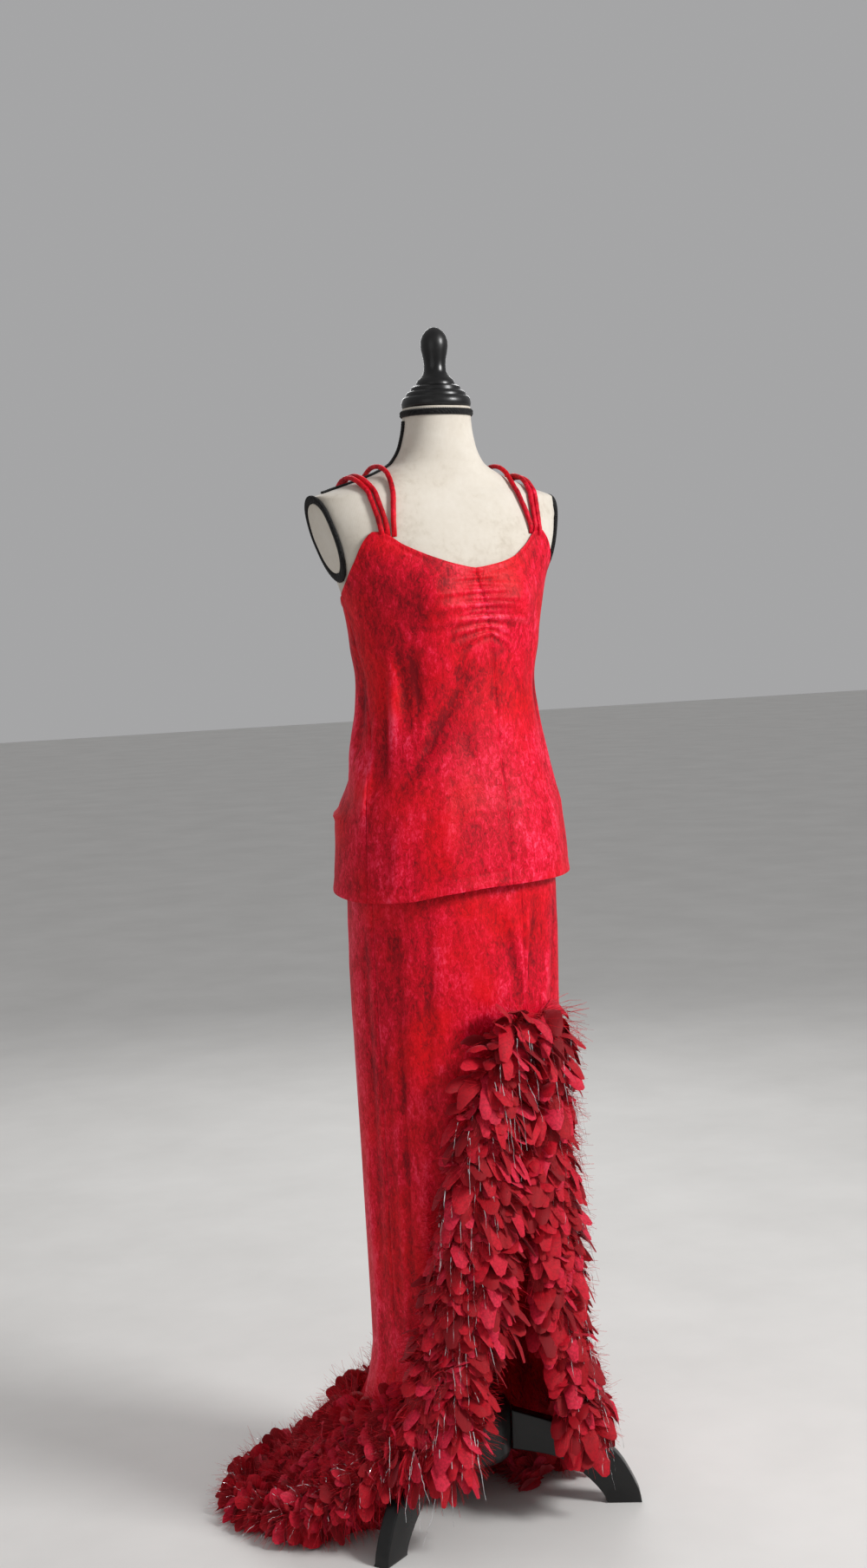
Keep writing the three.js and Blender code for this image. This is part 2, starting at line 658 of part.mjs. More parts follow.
function topRadius(turn, z) {
  const skin = skinRadius(turn, z, CLING);
  const hang = tableRadius(TOP_HANG, turn, z) + foldRise(TOP_FOLDS, turn, z);
  return Math.max(smoothMax(skin, hang, 4), skin);
}

// Heights of a panel's rows as parts of the way up, closer together where the bust is gathered.
function topRows(gathered) {
  if (!gathered) return steps(13);
  const plain = steps(8, 0, RUCHE.start);
  const folded = steps(2 * RUCHE.folds, RUCHE.start + 0.02, 0.985);
  return [...plain, ...folded, 1];
}

// The top's outer point at a turn, part of the way up from its hem to its edge.
function topPoint(turn, up) {
  const around = wrapTurn(turn);
  const edge = tableValue(TOP_EDGE, "turn", "z", around);
  const z = lerp(tableValue(TOP_HEM, "turn", "z", around), edge, up);
  return pointAt(turn, topRadius(turn, z), z);
}

// A panel between two seams. Columns are parts of the way across.
function topGrid(leftSeam, rightSeam, columns, gathered) {
  const front = TOP_SEAMS[TOP_SEAMS.length - 1].z;
  const halfGap = radToDeg((0.75 * SEAM_GAP) / 130);
  return topRows(gathered).map((up, row, rows) => {
    const level = lerp(TOP_SEAMS[0].z, front, up);
    const from = leftSeam(level) + halfGap;
    const to = rightSeam(level) - halfGap;
    return columns.map((across) => {
      const turn = lerp(from, to, across);
      const point = topPoint(turn, up);
      const out = surfaceOut(topPoint, turn, up, 0.01);
      if (gathered && row % 2 && up > RUCHE.start && row < rows.length - 1) {
        const away = Math.abs(turn - topSeam("middle", level)) / RUCHE.spread;
        point.addScaledVector(out, RUCHE.rise * Math.max(0, 1 - away) ** 1.3);
      }
      return { point, out };
    });
  });
}

function makeTop() {
  const right = (z) => topSeam("right", z);
  const middle = (z) => topSeam("middle", z);
  const left = (z) => topSeam("left", z);
  const toCup = [0, 0.08, 0.16, 0.24, 0.325, 0.365, 0.395, 0.44, 0.54, 0.65, 0.76, 0.87, 0.95, 1];
  const fromCup = toCup.map((across) => 1 - across).reverse();
  const panels = {
    top_front_right: topGrid(right, middle, toCup, true),
    top_front_left: topGrid(middle, left, fromCup, true),
    top_back: topGrid(left, (z) => right(z) + 360, steps(13), false),
  };
  for (const [name, grid] of Object.entries(panels)) addPiece(name, clearOfForm(wallGeometry(grid)), velvet);
}

// The space that the top's upper edge takes up, from the form's skin outward, which ends the straps.
// The back panel's edge is in longer facets, so the straps end a little higher above it.
function topEdgeCutter(from, to, above) {
  const drop = 40;
  const thick = 10;
  const grid = [-drop, above].map((rise) =>
    steps(100, from, to).map((turn) => {
      const z = tableValue(TOP_EDGE, "turn", "z", wrapTurn(turn)) + rise;
      const out = new THREE.Vector3(Math.sin(degToRad(turn)), -Math.cos(degToRad(turn)), 0);
      return { point: pointAt(turn, skinRadius(turn, z, CLING), z), out };
    }),
  );
  return solidFrom(wallGeometry(grid, thick));
}

function makeStraps() {
  const radius = STRAP_WIDTH / 2;
  const rings = 12;
  const edges = topEdgeCutter(-100, 100, 2.5 * SEAM_GAP).add(topEdgeCutter(80, 280, 4 * SEAM_GAP));
  for (const [name, side] of [["right", -1], ["left", 1]])
    for (const strap of STRAPS) {
      const path = [];
      const outs = [];
      for (const swing of steps(130, -10, 244)) {
        const angle = degToRad(swing);
        const toCrest = smoothstep(swing, 0, 80);
        const toBack = smoothstep(swing, 100, 175);
        const x = side * lerp(lerp(strap.front, strap.crest, toCrest), strap.back, toBack);
        const middle = new THREE.Vector3(x, 14, 1400);
        const skin = formSurface(middle, new THREE.Vector3(0, -Math.cos(angle), Math.sin(angle)));
        const turn = radToDeg(Math.atan2(skin.x, -skin.y));
        if (skin.z < tableValue(TOP_EDGE, "turn", "z", turn) - 2 * radius) continue;
        const out = formOut(skin);
        const overBraid = (BRAID.thickness + 2.2) * bell((swing - 88) / 26);
        path.push(skin.addScaledVector(out, radius + 0.5 + overBraid));
        outs.push(out);
      }
      const kept = steps(rings - 1, 0, path.length - 1).map(Math.round);
      const section = roundSection(radius, 5);
      const strand = sweepGeometry(kept.map((i) => path[i]), kept.map((i) => outs[i]), section);
      const clear = solidFrom(strand).subtract(formBody(0.35)).subtract(edges);
      addPiece("strap_" + name + "_" + strap.name, geometryFrom(largestBody(clear)), velvet);
    }
}

// The skirt

const slitEdge = (name, z) => tableValue(SLIT, "z", name, Math.min(z, SLIT_TOP));
const hemValue = (column, turn) => tableValue(HEM, "turn", column, wrapTurn(turn));

function skirtRadius(turn, z) {
  const skin = skinRadius(turn, Math.max(z, FORM_SECTIONS[0].z), CLING + 0.6);
  const hang = tableRadius(SKIRT_HANG, turn, z);
  if (z > SKIRT_HANG[0].z) return skin;
  if (z > SKIRT_HANG[1].z) return Math.max(skin, lerp(skin, hang, smoothstep(SKIRT_HANG[0].z - z, 0, 45)));
  return hang + foldRise(SKIRT_FOLDS, turn, z);
}

// The skirt's outer point at a turn: down to the flare by height, and then along a curve that ends
// at the hem. The level is the height, and below the flare's top it only counts along the curve.
function skirtPoint(turn, level) {
  if (level >= FLARE_TOP) return pointAt(turn, skirtRadius(turn, level), level);
  const way = 1 - level / FLARE_TOP;
  const start = skirtRadius(turn, FLARE_TOP);
  const reach = hemValue("reach", turn);
  const bottom = hemValue("z", turn);
  const knee = {
    radius: lerp(start, reach, hemValue("out", turn)),
    z: lerp(bottom, FLARE_TOP, hemValue("up", turn)),
  };
  const rest = 1 - way;
  const radius = rest * rest * start + 2 * rest * way * knee.radius + way * way * reach;
  const z = rest * rest * FLARE_TOP + 2 * rest * way * knee.z + way * way * bottom;
  const ripple = foldRise(SKIRT_FOLDS, turn, FLARE_TOP) * 1.4 * Math.sin(Math.PI * way);
  return pointAt(turn, radius + ripple, z);
}

const SKIRT_LEVELS = [
  WAIST_HEIGHT - BAND_HEIGHT / 2 - SEAM_GAP, 1100, 1050, 1000, 950, 890, 820, SLIT_TOP, 720, 690,
  640, 570, 480, 370, FLARE_TOP, 205, 150, 100, 48, 0,
];

// A stretch of the skirt between two seams. A margin above 0 takes it past its edges.
function skirtGrid(leftSeam, rightSeam, columns, margin) {
  const halfGap = radToDeg((SEAM_GAP / 2 - margin) / 120);
  const levels = [...SKIRT_LEVELS].reverse();
  levels[0] -= 4 * margin;
  return levels.map((level) =>
    columns.map((across) => {
      const turn = lerp(leftSeam(level) + halfGap, rightSeam(level) - halfGap, across);
      return { point: skirtPoint(turn, level), out: surfaceOut(skirtPoint, turn, level, 2) };
    }),
  );
}

// Below the flare's top a level runs along the cloth, so the slit's edge is read a little higher.
const slitRight = (level) => slitEdge("right", Math.max(level, 100));
const slitLeft = (level) => slitEdge("left", Math.max(level, 100));

// The skirt's panels. A margin above 0 takes each past its edges, to cut what must stay clear of it.
function skirtPanels(margin) {
  const rightSeam = () => SKIRT_SEAMS.right;
  const leftSeam = () => SKIRT_SEAMS.left;
  return {
    skirt_front: skirtGrid(rightSeam, slitRight, steps(9), margin),
    skirt_side_front: skirtGrid(slitLeft, leftSeam, steps(7), margin),
    skirt_back: skirtGrid(leftSeam, () => SKIRT_SEAMS.right + 360, steps(19), margin),
  };
}

function makeSkirt() {
  for (const [name, grid] of Object.entries(skirtPanels(0))) addPiece(name, wallGeometry(grid), velvet);
  const half = BAND_HEIGHT / 2;
  const ring = steps(29, 0, 348).map((turn) =>
    pointAt(turn, formRadius(turn, WAIST_HEIGHT - half) + 1.6, WAIST_HEIGHT),
  );
  const outs = ring.map((p) => new THREE.Vector3(p.x, p.y, 0).normalize());
  const section = [[-half, 0], [half, 0], [half, CLOTH], [-half, CLOTH]];
  addPiece("skirt_waistband", sweepGeometry(ring, outs, section, true), velvet);
}

// The boa

// The same numbers each time, between 0 and 1.
function makeRandom(seed) {
  let state = seed;
  return () => {
    state = (state * 16807) % 2147483647;
    return state / 2147483647;
  };
}

// One feather: a blade with three sides, from the cord's middle to a drooping tip.
function featherBody(root, way, across, length, width, droop) {
  const face = way.clone().cross(across).normalize();
  const down = new THREE.Vector3(0, 0, -droop);
  const middle = root.clone().addScaledVector(way, length * 0.56).addScaledVector(down, 0.3);
  const tip = root.clone().addScaledVector(way, length).add(down);
  const ring = (centre, half, depth) => [
    centre.clone().addScaledVector(across, half),
    centre.clone().addScaledVector(face, depth),
    centre.clone().addScaledVector(across, -half),
  ];
  const sides = 3;
  const points = [...ring(root, width * 0.25, 4), ...ring(middle, width / 2, 4), tip];
  // No feather goes into the floor: a low one lies over it.
  const blade = points.slice(sides);
  const lowest = Math.min(...blade.map((p) => p.z));
  if (lowest < FEATHER_FLOOR) for (const p of blade) p.z += FEATHER_FLOOR - lowest;
  const faces = [0, 2, 1];
  for (let i = 0; i < sides; i++) {
    const j = (i + 1) % sides;
    faces.push(i, j, sides + j, i, sides + j, sides + i, sides + i, sides + j, 2 * sides);
  }
  return solidFrom(bodyGeometry(points, faces));
}

// A stretch of boa: a cord along points with feathers all round its outer side.
function boaSolid(path, outs, feathers, seed) {
  const random = makeRandom(seed);
  const cord = sweepGeometry(path, outs, roundSection(BOA_CORE, 6));
  let boa = solidFrom(cord);
  const curve = new THREE.CatmullRomCurve3(path);
  for (let i = 0; i < feathers; i++) {
    const place = clamp((i + 0.2 + 0.6 * random()) / feathers, 0.01, 0.99);
    const root = curve.getPointAt(place);
    const along = curve.getTangentAt(place);
    const near = Math.round(curve.getUtoTmapping(place) * (path.length - 1));
    const across = along.clone().cross(outs[near]).normalize();
    const out = across.clone().cross(along).normalize();
    const swing = degToRad(((i * 137.5) % 190) - 95 + 8 * (random() - 0.5));
    const lean = 0.35 * (random() - 0.5);
    const way = out.clone().multiplyScalar(Math.cos(swing)).addScaledVector(across, Math.sin(swing));
    way.addScaledVector(along, lean).normalize();
    const twist = degToRad(80 * (random() - 0.5));
    const flat = along.clone().addScaledVector(way, -along.dot(way)).normalize();
    const wide = flat.clone().applyAxisAngle(way, twist);
    const length = BOA_REACH * (0.86 + 0.28 * random());
    const width = 17 + 8 * random();
    boa = boa.add(featherBody(root, way, wide, length, width, 6 + 9 * random()));
  }
  return boa;
}

// A wedge of space between two turns, to part one stretch of boa from the next.
function wedgeSolid(from, to) {
  const far = 700;
  const edge = steps(4, from, to).map((turn) => {
    const angle = degToRad(turn);
    return new THREE.Vector2(far * Math.sin(angle), -far * Math.cos(angle));
  });
  const wedge = new THREE.ExtrudeGeometry(new THREE.Shape([new THREE.Vector2(0, 0), ...edge]), {
    depth: 1000,
    bevelEnabled: false,
  });
  return solidFrom(wedge);
}

// The space on one side of the line between the two boas of the slit, seen from the front.
function slitSideSolid(side) {
  const line = [[64, 900], [64, 745], [18, 640], [10, 400], [8, 0]];
  const far = side * 700;
  const edge = line.map(([x, z]) => new THREE.Vector2(x + side * SEAM_GAP, z));
  const shape = new THREE.Shape([...edge, new THREE.Vector2(far, 0), new THREE.Vector2(far, 900)]);
  const space = new THREE.ExtrudeGeometry(shape, { depth: 600, bevelEnabled: false });
  space.rotateX(Math.PI / 2);
  return solidFrom(space);
}

// A stretch of boa follows the cloth's edge at some clearance: levels up the slit, turns round the hem.
function slitPath(side) {
  const name = side < 0 ? "right" : "left";
  const path = [];
  const outs = [];
  for (const level of [738, 716, 690, 660, 625, 585, 540, 490, 440, 390, 340, 290, 240, 200]) {
    const start = side * 9 * smoothstep(level, 640, 738);
    const turn = slitEdge(name, level) + start;
    const skin = level >= FLARE_TOP ? skirtPoint(turn, level) : pointAt(turn, 140, level);
    const out = new THREE.Vector3(skin.x, skin.y, 0).normalize();
    path.push(skin.addScaledVector(out, BOA_CORE + 0.3));
    outs.push(out);
  }
  for (const [turn, z] of [[37, 158], [42, 136], [52, 142], [63, 142]]) {
    const point = pointAt(side * turn, hemValue("reach", side * turn) + BOA_CORE, z);
    path.push(point);
    outs.push(new THREE.Vector3(point.x, point.y, 60).normalize());
  }
  return { path, outs };
}

function hemPath(from, to) {
  const path = [];
  const outs = [];
  const count = Math.ceil(Math.abs(to - from) / 11);
  for (const turn of steps(count, from, to)) {
    const reach = hemValue("reach", turn) + BOA_CORE * 0.35;
    const point = pointAt(turn, reach, hemValue("z", turn) + BOA_CORE * 1.1);
    path.push(point);
    outs.push(new THREE.Vector3(point.x, point.y, 150).normalize());
  }
  return { path, outs };
}

const BOA_STRETCHES = [
  { name: "boa_slit_right", side: -1, from: -62, to: 60, feathers: 34, seed: 11 },
  { name: "boa_slit_left", side: 1, from: -60, to: 62, feathers: 34, seed: 23 },
  { name: "boa_hem_right", from: -62.4, to: -100, feathers: 11, seed: 37 },
  { name: "boa_train_right", from: -100.4, to: -140, feathers: 15, seed: 43 },
  { name: "boa_train_back", from: -140.4, to: -190, feathers: 17, seed: 57 },
  { name: "boa_train_left", from: 169.6, to: 118, feathers: 13, seed: 62 },
  { name: "boa_hem_left", from: 117.6, to: 62.4, feathers: 11, seed: 71 },
];

function makeBoas() {
  // The whole skirt as one wall, from the slit's one edge round the back to the other, and fatter.
  const clearance = 0.5;
  const panels = skirtPanels(clearance);
  const skirt = panels.skirt_side_front.map((row, r) => [
    ...row,
    ...panels.skirt_back[r].slice(1),
    ...panels.skirt_front[r].slice(1),
  ]);
  const cutters = [solidFrom(wallGeometry(skirt, clearance))];
  for (const turn of Object.values(LEG_TURNS)) cutters.push(legCutter(turn));
  for (const stretch of BOA_STRETCHES) {
    const { path, outs } = stretch.side ? slitPath(stretch.side) : hemPath(stretch.from, stretch.to);
    let boa = boaSolid(path, outs, stretch.feathers, stretch.seed);
    boa = boa.intersect(wedgeSolid(stretch.from, stretch.to));
    if (stretch.side) boa = boa.intersect(slitSideSolid(stretch.side));
    for (const cutter of cutters) boa = boa.subtract(cutter);
    addPiece(stretch.name, geometryFrom(largestBody(boa)), feather);
  }
}

// A leg's board, fatter all round than the leg itself.
function legCutter(turn) {
  const plain = solidFrom(legGeometry(turn, 1));
  const raised = legGeometry(turn, 1);
  raised.translate(0, 0, 2);
  return plain.add(solidFrom(raised));
}

makeForm();
makeBraids();
makeNeckCap();
makeStand();
makeTop();
makeStraps();
makeSkirt();
makeBoas();

const box = new THREE.Box3().setFromObject(part);
part.position.set(-(box.min.x + box.max.x) / 2, -(box.min.y + box.max.y) / 2, -box.min.z);

export default part;
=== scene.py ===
import math

import bpy
import numpy as np
from mathutils import Matrix, Vector


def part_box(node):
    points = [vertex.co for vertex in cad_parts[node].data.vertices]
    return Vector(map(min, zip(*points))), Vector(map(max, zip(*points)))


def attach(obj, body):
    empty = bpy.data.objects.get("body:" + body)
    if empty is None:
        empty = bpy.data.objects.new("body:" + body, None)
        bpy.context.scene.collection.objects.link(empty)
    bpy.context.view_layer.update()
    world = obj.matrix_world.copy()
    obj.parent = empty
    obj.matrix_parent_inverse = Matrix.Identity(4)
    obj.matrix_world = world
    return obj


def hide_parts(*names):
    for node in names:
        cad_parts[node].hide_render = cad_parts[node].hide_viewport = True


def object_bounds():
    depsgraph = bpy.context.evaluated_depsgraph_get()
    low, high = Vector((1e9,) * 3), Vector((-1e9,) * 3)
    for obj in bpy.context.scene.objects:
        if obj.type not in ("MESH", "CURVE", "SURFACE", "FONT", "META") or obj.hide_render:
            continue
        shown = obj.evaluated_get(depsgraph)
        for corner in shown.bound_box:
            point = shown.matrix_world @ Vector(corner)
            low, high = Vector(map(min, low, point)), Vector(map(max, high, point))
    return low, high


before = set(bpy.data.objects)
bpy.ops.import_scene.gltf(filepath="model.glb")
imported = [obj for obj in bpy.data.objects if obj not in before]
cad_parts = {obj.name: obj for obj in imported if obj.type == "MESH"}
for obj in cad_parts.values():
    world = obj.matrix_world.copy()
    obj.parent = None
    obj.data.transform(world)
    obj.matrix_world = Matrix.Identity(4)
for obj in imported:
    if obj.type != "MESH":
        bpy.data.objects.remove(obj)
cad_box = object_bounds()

# Everything below is in millimetres about the stand's pole until it is made into a mesh. A turn is
# an angle in degrees: 0 at the front, 90 at the wearer's left, 180 at the back.
MM = 0.001
pole_low, pole_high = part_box("form_pole")
POLE = np.array([(pole_low.x + pole_high.x) / 2, (pole_low.y + pole_high.y) / 2, 0.0])

CLOTH = 1.8
CLING = 3.3
SECTION_POWER = 2.2
WAIST_HEIGHT = 1152
BAND_HEIGHT = 26
SLIT_TOP = 745
FLARE_TOP = 260
NECK_TOP = 1582
FORM_BOTTOM = 826
BRAID_WIDTH = 8
BRAID_DEPTH = 3
STRAP_RADIUS = 3.7
BOA_CORE = 11
BOA_REACH = 50
FLOOR_GAP = 2.8
FOLD_END = 24
CREASE_END = 20
BRAID_LOOP = 3.2
ARM_LOOPS = 104
DOWN = np.array([0, 0, -1.0])

# The form: height, half breadth, depth in front and behind, shift to the back.
FORM_SECTIONS = [
    (826, 143, 98, 108, 0), (850, 147, 105, 116, 0), (900, 148.5, 109, 121, 0),
    (950, 148.5, 108, 121, 0), (1000, 142, 105, 110, 0), (1060, 131, 100, 97, 0),
    (1110, 121, 95, 88, 0), (1152, 117, 92, 84, 0), (1200, 121, 95, 86, 0),
    (1250, 131, 100, 91, 0), (1300, 141, 103, 96, 0), (1340, 152, 101, 100, 2),
    (1380, 171, 98, 98, 8), (1410, 183, 94, 92, 14), (1440, 190, 86, 78, 20),
    (1457, 190, 79, 66, 22), (1468, 162, 73, 58, 22), (1480, 124, 66, 52, 18),
    (1492, 92, 58, 51, 11), (1506, 68, 51, 52, 5), (1530, 54, 47, 50, 1),
    (1560, 48, 45, 47, 0), (1582, 47, 45, 46, 0),
]
BUST = {"z": 1316, "turn": 29, "rise": 15, "wide": 18, "tall": 40}
ARM_FLAT = {"top": (184, 1457), "bottom": (152, 1337), "thickness": 5}

# How the top hangs below the bust: height, half breadth, depth in front and behind.
TOP_HANG = [
    (895, 172, 134, 139), (960, 168, 131, 136), (1022, 161, 124, 129), (1049, 153, 119, 123),
    (1088, 142, 113, 112), (1128, 135, 109, 104), (1165, 131, 107, 100), (1202, 129, 106, 98),
    (1256, 137, 107, 98), (1300, 138, 100, 94), (1420, 138, 80, 80),
]
# The top's upper edge and its hem: turn and height.
TOP_EDGE = [
    (-180, 1322), (-150, 1324), (-140, 1328), (-128, 1322), (-110, 1314), (-98, 1324),
    (-86, 1341), (-74, 1368), (-65, 1402), (-62, 1409), (-58.5, 1408), (-48, 1390), (-33, 1374),
    (-15, 1362), (0, 1357), (15, 1361), (33, 1371), (46, 1388), (56.5, 1408), (60, 1409),
    (63, 1402), (72, 1370), (85, 1341), (98, 1324), (110, 1314), (128, 1322), (140, 1328),
    (150, 1324), (180, 1322),
]
TOP_HEM = [
    (-180, 916), (-118, 912), (-75, 903), (-50, 906), (-30, 914), (0, 920), (60, 922),
    (120, 919), (180, 916),
]
# The top's seams: height, then the turns of the right side's, the middle's and the left side's.
TOP_SEAMS = [
    (900, -72, 10, 88), (1063, -76, 13, 89), (1133, -80, 13, 90), (1190, -86, 12, 92),
    (1277, -92, 7, 95), (1357, -97, 0, 97),
]
# Folds: turn and height of the top end, turn and height of the low end, rise, width in degrees.
TOP_FOLDS = [
    (-64, 1240, -63, 1110, 4, 9), (-55, 1246, -57, 1180, -4, 9), (-46, 1215, -45, 1150, -3, 8),
    (-66, 1145, -70, 1040, -4, 9), (-10, 1225, -31, 1125, -4, 13), (-29, 1130, -54, 1098, -4, 12),
    (-100, 1125, -80, 1045, 6, 13), (-108, 1075, -92, 1010, -5, 14), (-128, 1026, -104, 1010, 8, 17),
    (52, 1230, 60, 1130, -4, 10), (66, 1150, 74, 1030, 5, 12), (30, 1010, 36, 925, 4, 16),
    (100, 1120, 118, 1030, 5, 13), (140, 1230, 128, 1090, -5, 14), (165, 1130, 140, 1040, 6, 14),
    (-160, 1215, -145, 1080, -5, 14), (-170, 1080, -150, 930, 4, 15),
]
# Narrower creases that the solids leave out, in the same columns.
TOP_CREASES = [
    (-59, 1258, -54, 1150, -5.0, 3.8), (-50, 1248, -46, 1160, -3.8, 3.2), (-62, 1215, -63, 1085, 4.0, 3.4),
    (-69, 1215, -68, 1075, -4.4, 3.2), (-76, 1140, -77, 1015, 3.6, 2.4), (-74, 1105, -73, 1030, -3.2, 2.2),
    (-16, 1205, -40, 1116, -3.4, 4.6), (-38, 1126, -54, 1060, -3.0, 4.0), (-44, 1180, -44, 1110, 2.2, 4.0),
    (-12, 1250, -18, 1200, -1.2, 3.4), (24, 1244, 36, 1180, -1.8, 3.2), (28, 1200, 36, 1100, 1.6, 5.0),
    (70, 1262, 62, 1140, -3.6, 3.6), (80, 1150, 84, 1000, 3.2, 3.6), (56, 1250, 52, 1160, 2.2, 3.6),
    (46, 1120, 50, 940, 1.8, 4.4), (-30, 1050, -28, 915, 1.8, 5.0), (-54, 1010, -58, 912, 2.4, 3.6),
    (22, 1040, 20, 930, 1.4, 5.0), (70, 1020, 72, 925, 2.0, 4.0), (-92, 1250, -90, 1120, -3.4, 3.6),
    (-104, 1200, -98, 1060, 3.0, 4.2), (100, 1250, 108, 1120, -3.4, 4.2), (116, 1180, 122, 1040, 3.0, 4.4),
    (150, 1240, 138, 1150, -3.4, 4.0), (178, 1210, 168, 1110, -3.0, 4.6), (-150, 1150, -158, 1040, 3.0, 4.0),
    (-124, 1200, -112, 1090, -3.6, 4.2), (-136, 1060, -130, 930, 2.4, 4.6), (125, 1040, 130, 930, 2.4, 4.6),
    (-38, 1394, -20, 1370, -2.0, 3.6), (-46, 1386, -24, 1350, -1.6, 3.2), (-54, 1392, -40, 1362, 1.6, 3.4),
    (42, 1390, 30, 1352, -1.6, 3.4), (56, 1394, 46, 1356, -1.6, 3.0), (-60, 1330, -40, 1300, -1.6, 5.0),
    (62, 1340, 44, 1300, -1.6, 5.0), (-16, 1140, -8, 1060, -1.6, 6.0), (60, 1100, 66, 1010, -2.0, 4.0),
]
# The gathers beside the front seam: height at the seam, reach in degrees and drop in millimetres
# to the wearer's right and to the left, depth, and width.
GATHERS = [
    (1347, 16, 1, 14, 1, 1.1, 2.4), (1339, 34, 4, 20, -2, 1.9, 3.2), (1330, 18, 1, 30, 4, 1.6, 2.4),
    (1320, 44, 7, 22, -1, 2.8, 3.8), (1311, 20, 0, 36, 6, 2.0, 2.6), (1301, 48, 9, 24, 2, 3.3, 3.8),
    (1293, 26, 3, 20, 3, 2.3, 2.6), (1282, 52, 12, 40, 7, 4.2, 4.2), (1271, 34, 13, 22, 16, 3.6, 3.2),
    (1262, 28, 21, 20, 26, 3.8, 3.4),
]

# How the skirt hangs below the hips, and its seams and folds, in the same columns as the top's.
SKIRT_HANG = [
    (950, 150, 114, 122), (905, 152.5, 117, 126), (745, 149, 118, 122), (500, 143, 116, 118),
    (FLARE_TOP, 139, 114, 116),
]
SKIRT_SEAM_RIGHT = -76
SKIRT_SEAM_LEFT = 95
SKIRT_FOLDS = [
    (-66, 860, -66, 300, -2.5, 7), (-56, 700, -58, 200, 3, 7), (-40, 760, -46, 240, -2.5, 9),
    (2, 880, 20, 760, -3, 7), (12, 890, 22, 770, 3, 6), (40, 890, 28, 765, -3, 7),
    (62, 840, 60, 300, 3, 9), (-100, 800, -98, 180, 5, 9), (-118, 700, -120, 160, -6, 9),
    (-140, 820, -138, 180, 6, 10), (-160, 700, -162, 180, -6, 10), (178, 820, 180, 200, 6, 10),
    (156, 720, 154, 170, -6, 10), (134, 780, 132, 180, 6, 9), (112, 700, 110, 170, -4, 8),
]
SKIRT_CREASES = [
    (-62, 850, -61, 330, -3.0, 2.0), (-67, 700, -66, 240, 2.6, 2.4), (-50, 640, -52, 250, 2.2, 3.0),
    (-36, 880, -39, 640, 1.6, 3.6), (-44, 900, -47, 620, -2.0, 3.0), (-28, 700, -34, 420, -2.0, 3.0),
    (-12, 900, -8, 780, 1.4, 3.6), (8, 870, 20, 768, -2.6, 2.2), (17, 885, 23, 762, 2.2, 1.8),
    (28, 880, 25, 762, 1.8, 1.8), (34, 875, 27, 765, -2.6, 2.2), (48, 820, 36, 700, 2.0, 3.0),
    (56, 880, 50, 740, -2.0, 3.0), (76, 860, 78, 500, -2.4, 3.0), (88, 700, 86, 330, 2.4, 3.2),
    (-84, 840, -84, 420, -2.6, 2.6), (-92, 560, -90, 210, 2.8, 3.0), (-108, 860, -109, 440, 2.4, 3.2),
    (-128, 860, -130, 380, -2.8, 3.4), (-150, 640, -150, 200, 2.8, 3.6), (-171, 860, -172, 420, 2.8, 3.6),
    (167, 620, 168, 210, -2.8, 3.6), (145, 860, 144, 420, -2.6, 3.4), (122, 640, 121, 210, 2.8, 3.4),
    (104, 830, 102, 480, 2.4, 3.0),
]
# The slit: height, and the turns of its right and left edges.
SLIT = [
    (100, -36, 42), (200, -35, 40), (340, -32, 37), (450, -28, 35), (540, -21, 32),
    (640, -8, 29), (700, 9, 26), (SLIT_TOP, 24, 24),
]
# The hem: turn, reach, height, and how far the cloth above it tents out and how high it stays.
HEM = [
    (-180, 290, 2.4, 0.45, 0.5), (-165, 305, 2.4, 0.35, 0.42), (-150, 322, 2.4, 0.2, 0.3),
    (-135, 332, 2.4, 0.14, 0.24), (-118, 328, 2.4, 0.12, 0.22), (-105, 295, 8, 0.12, 0.22),
    (-95, 262, 24, 0.12, 0.22), (-85, 228, 48, 0.12, 0.22), (-75, 196, 84, 0.12, 0.25),
    (-66, 172, 116, 0.12, 0.25), (-52, 153, 124, 0.12, 0.25), (-36, 148, 116, 0.12, 0.25),
    (41, 148, 116, 0.12, 0.25), (60, 151, 124, 0.12, 0.25), (70, 153, 118, 0.12, 0.25),
    (80, 157, 92, 0.12, 0.25), (90, 162, 60, 0.12, 0.22), (112, 178, 12, 0.12, 0.22),
    (135, 214, 2.4, 0.14, 0.24), (150, 242, 2.4, 0.2, 0.3), (165, 268, 2.4, 0.35, 0.42),
    (180, 290, 2.4, 0.45, 0.5),
]
# The straps: place at the top's front edge, on the shoulder's crest and at the back edge.
STRAPS = [("1", 107, 90, 92), ("2", 114.8, 124, 104), ("3", 122.6, 132.4, 112)]

# A leg from the side: distance from the pole and height, along its top and back along its underside.
LEG_TOP = [(59, 142), (124, 122), (176, 102), (214, 69), (239, 24), (245, 0)]
LEG_UNDERSIDE = [(195, 0), (187, 17), (162, 44), (124, 70), (59, 84)]
LEG_BOARD = 22
LEG_TURNS = {"right": -60, "left": 60, "back": 180}


# Curves and sections

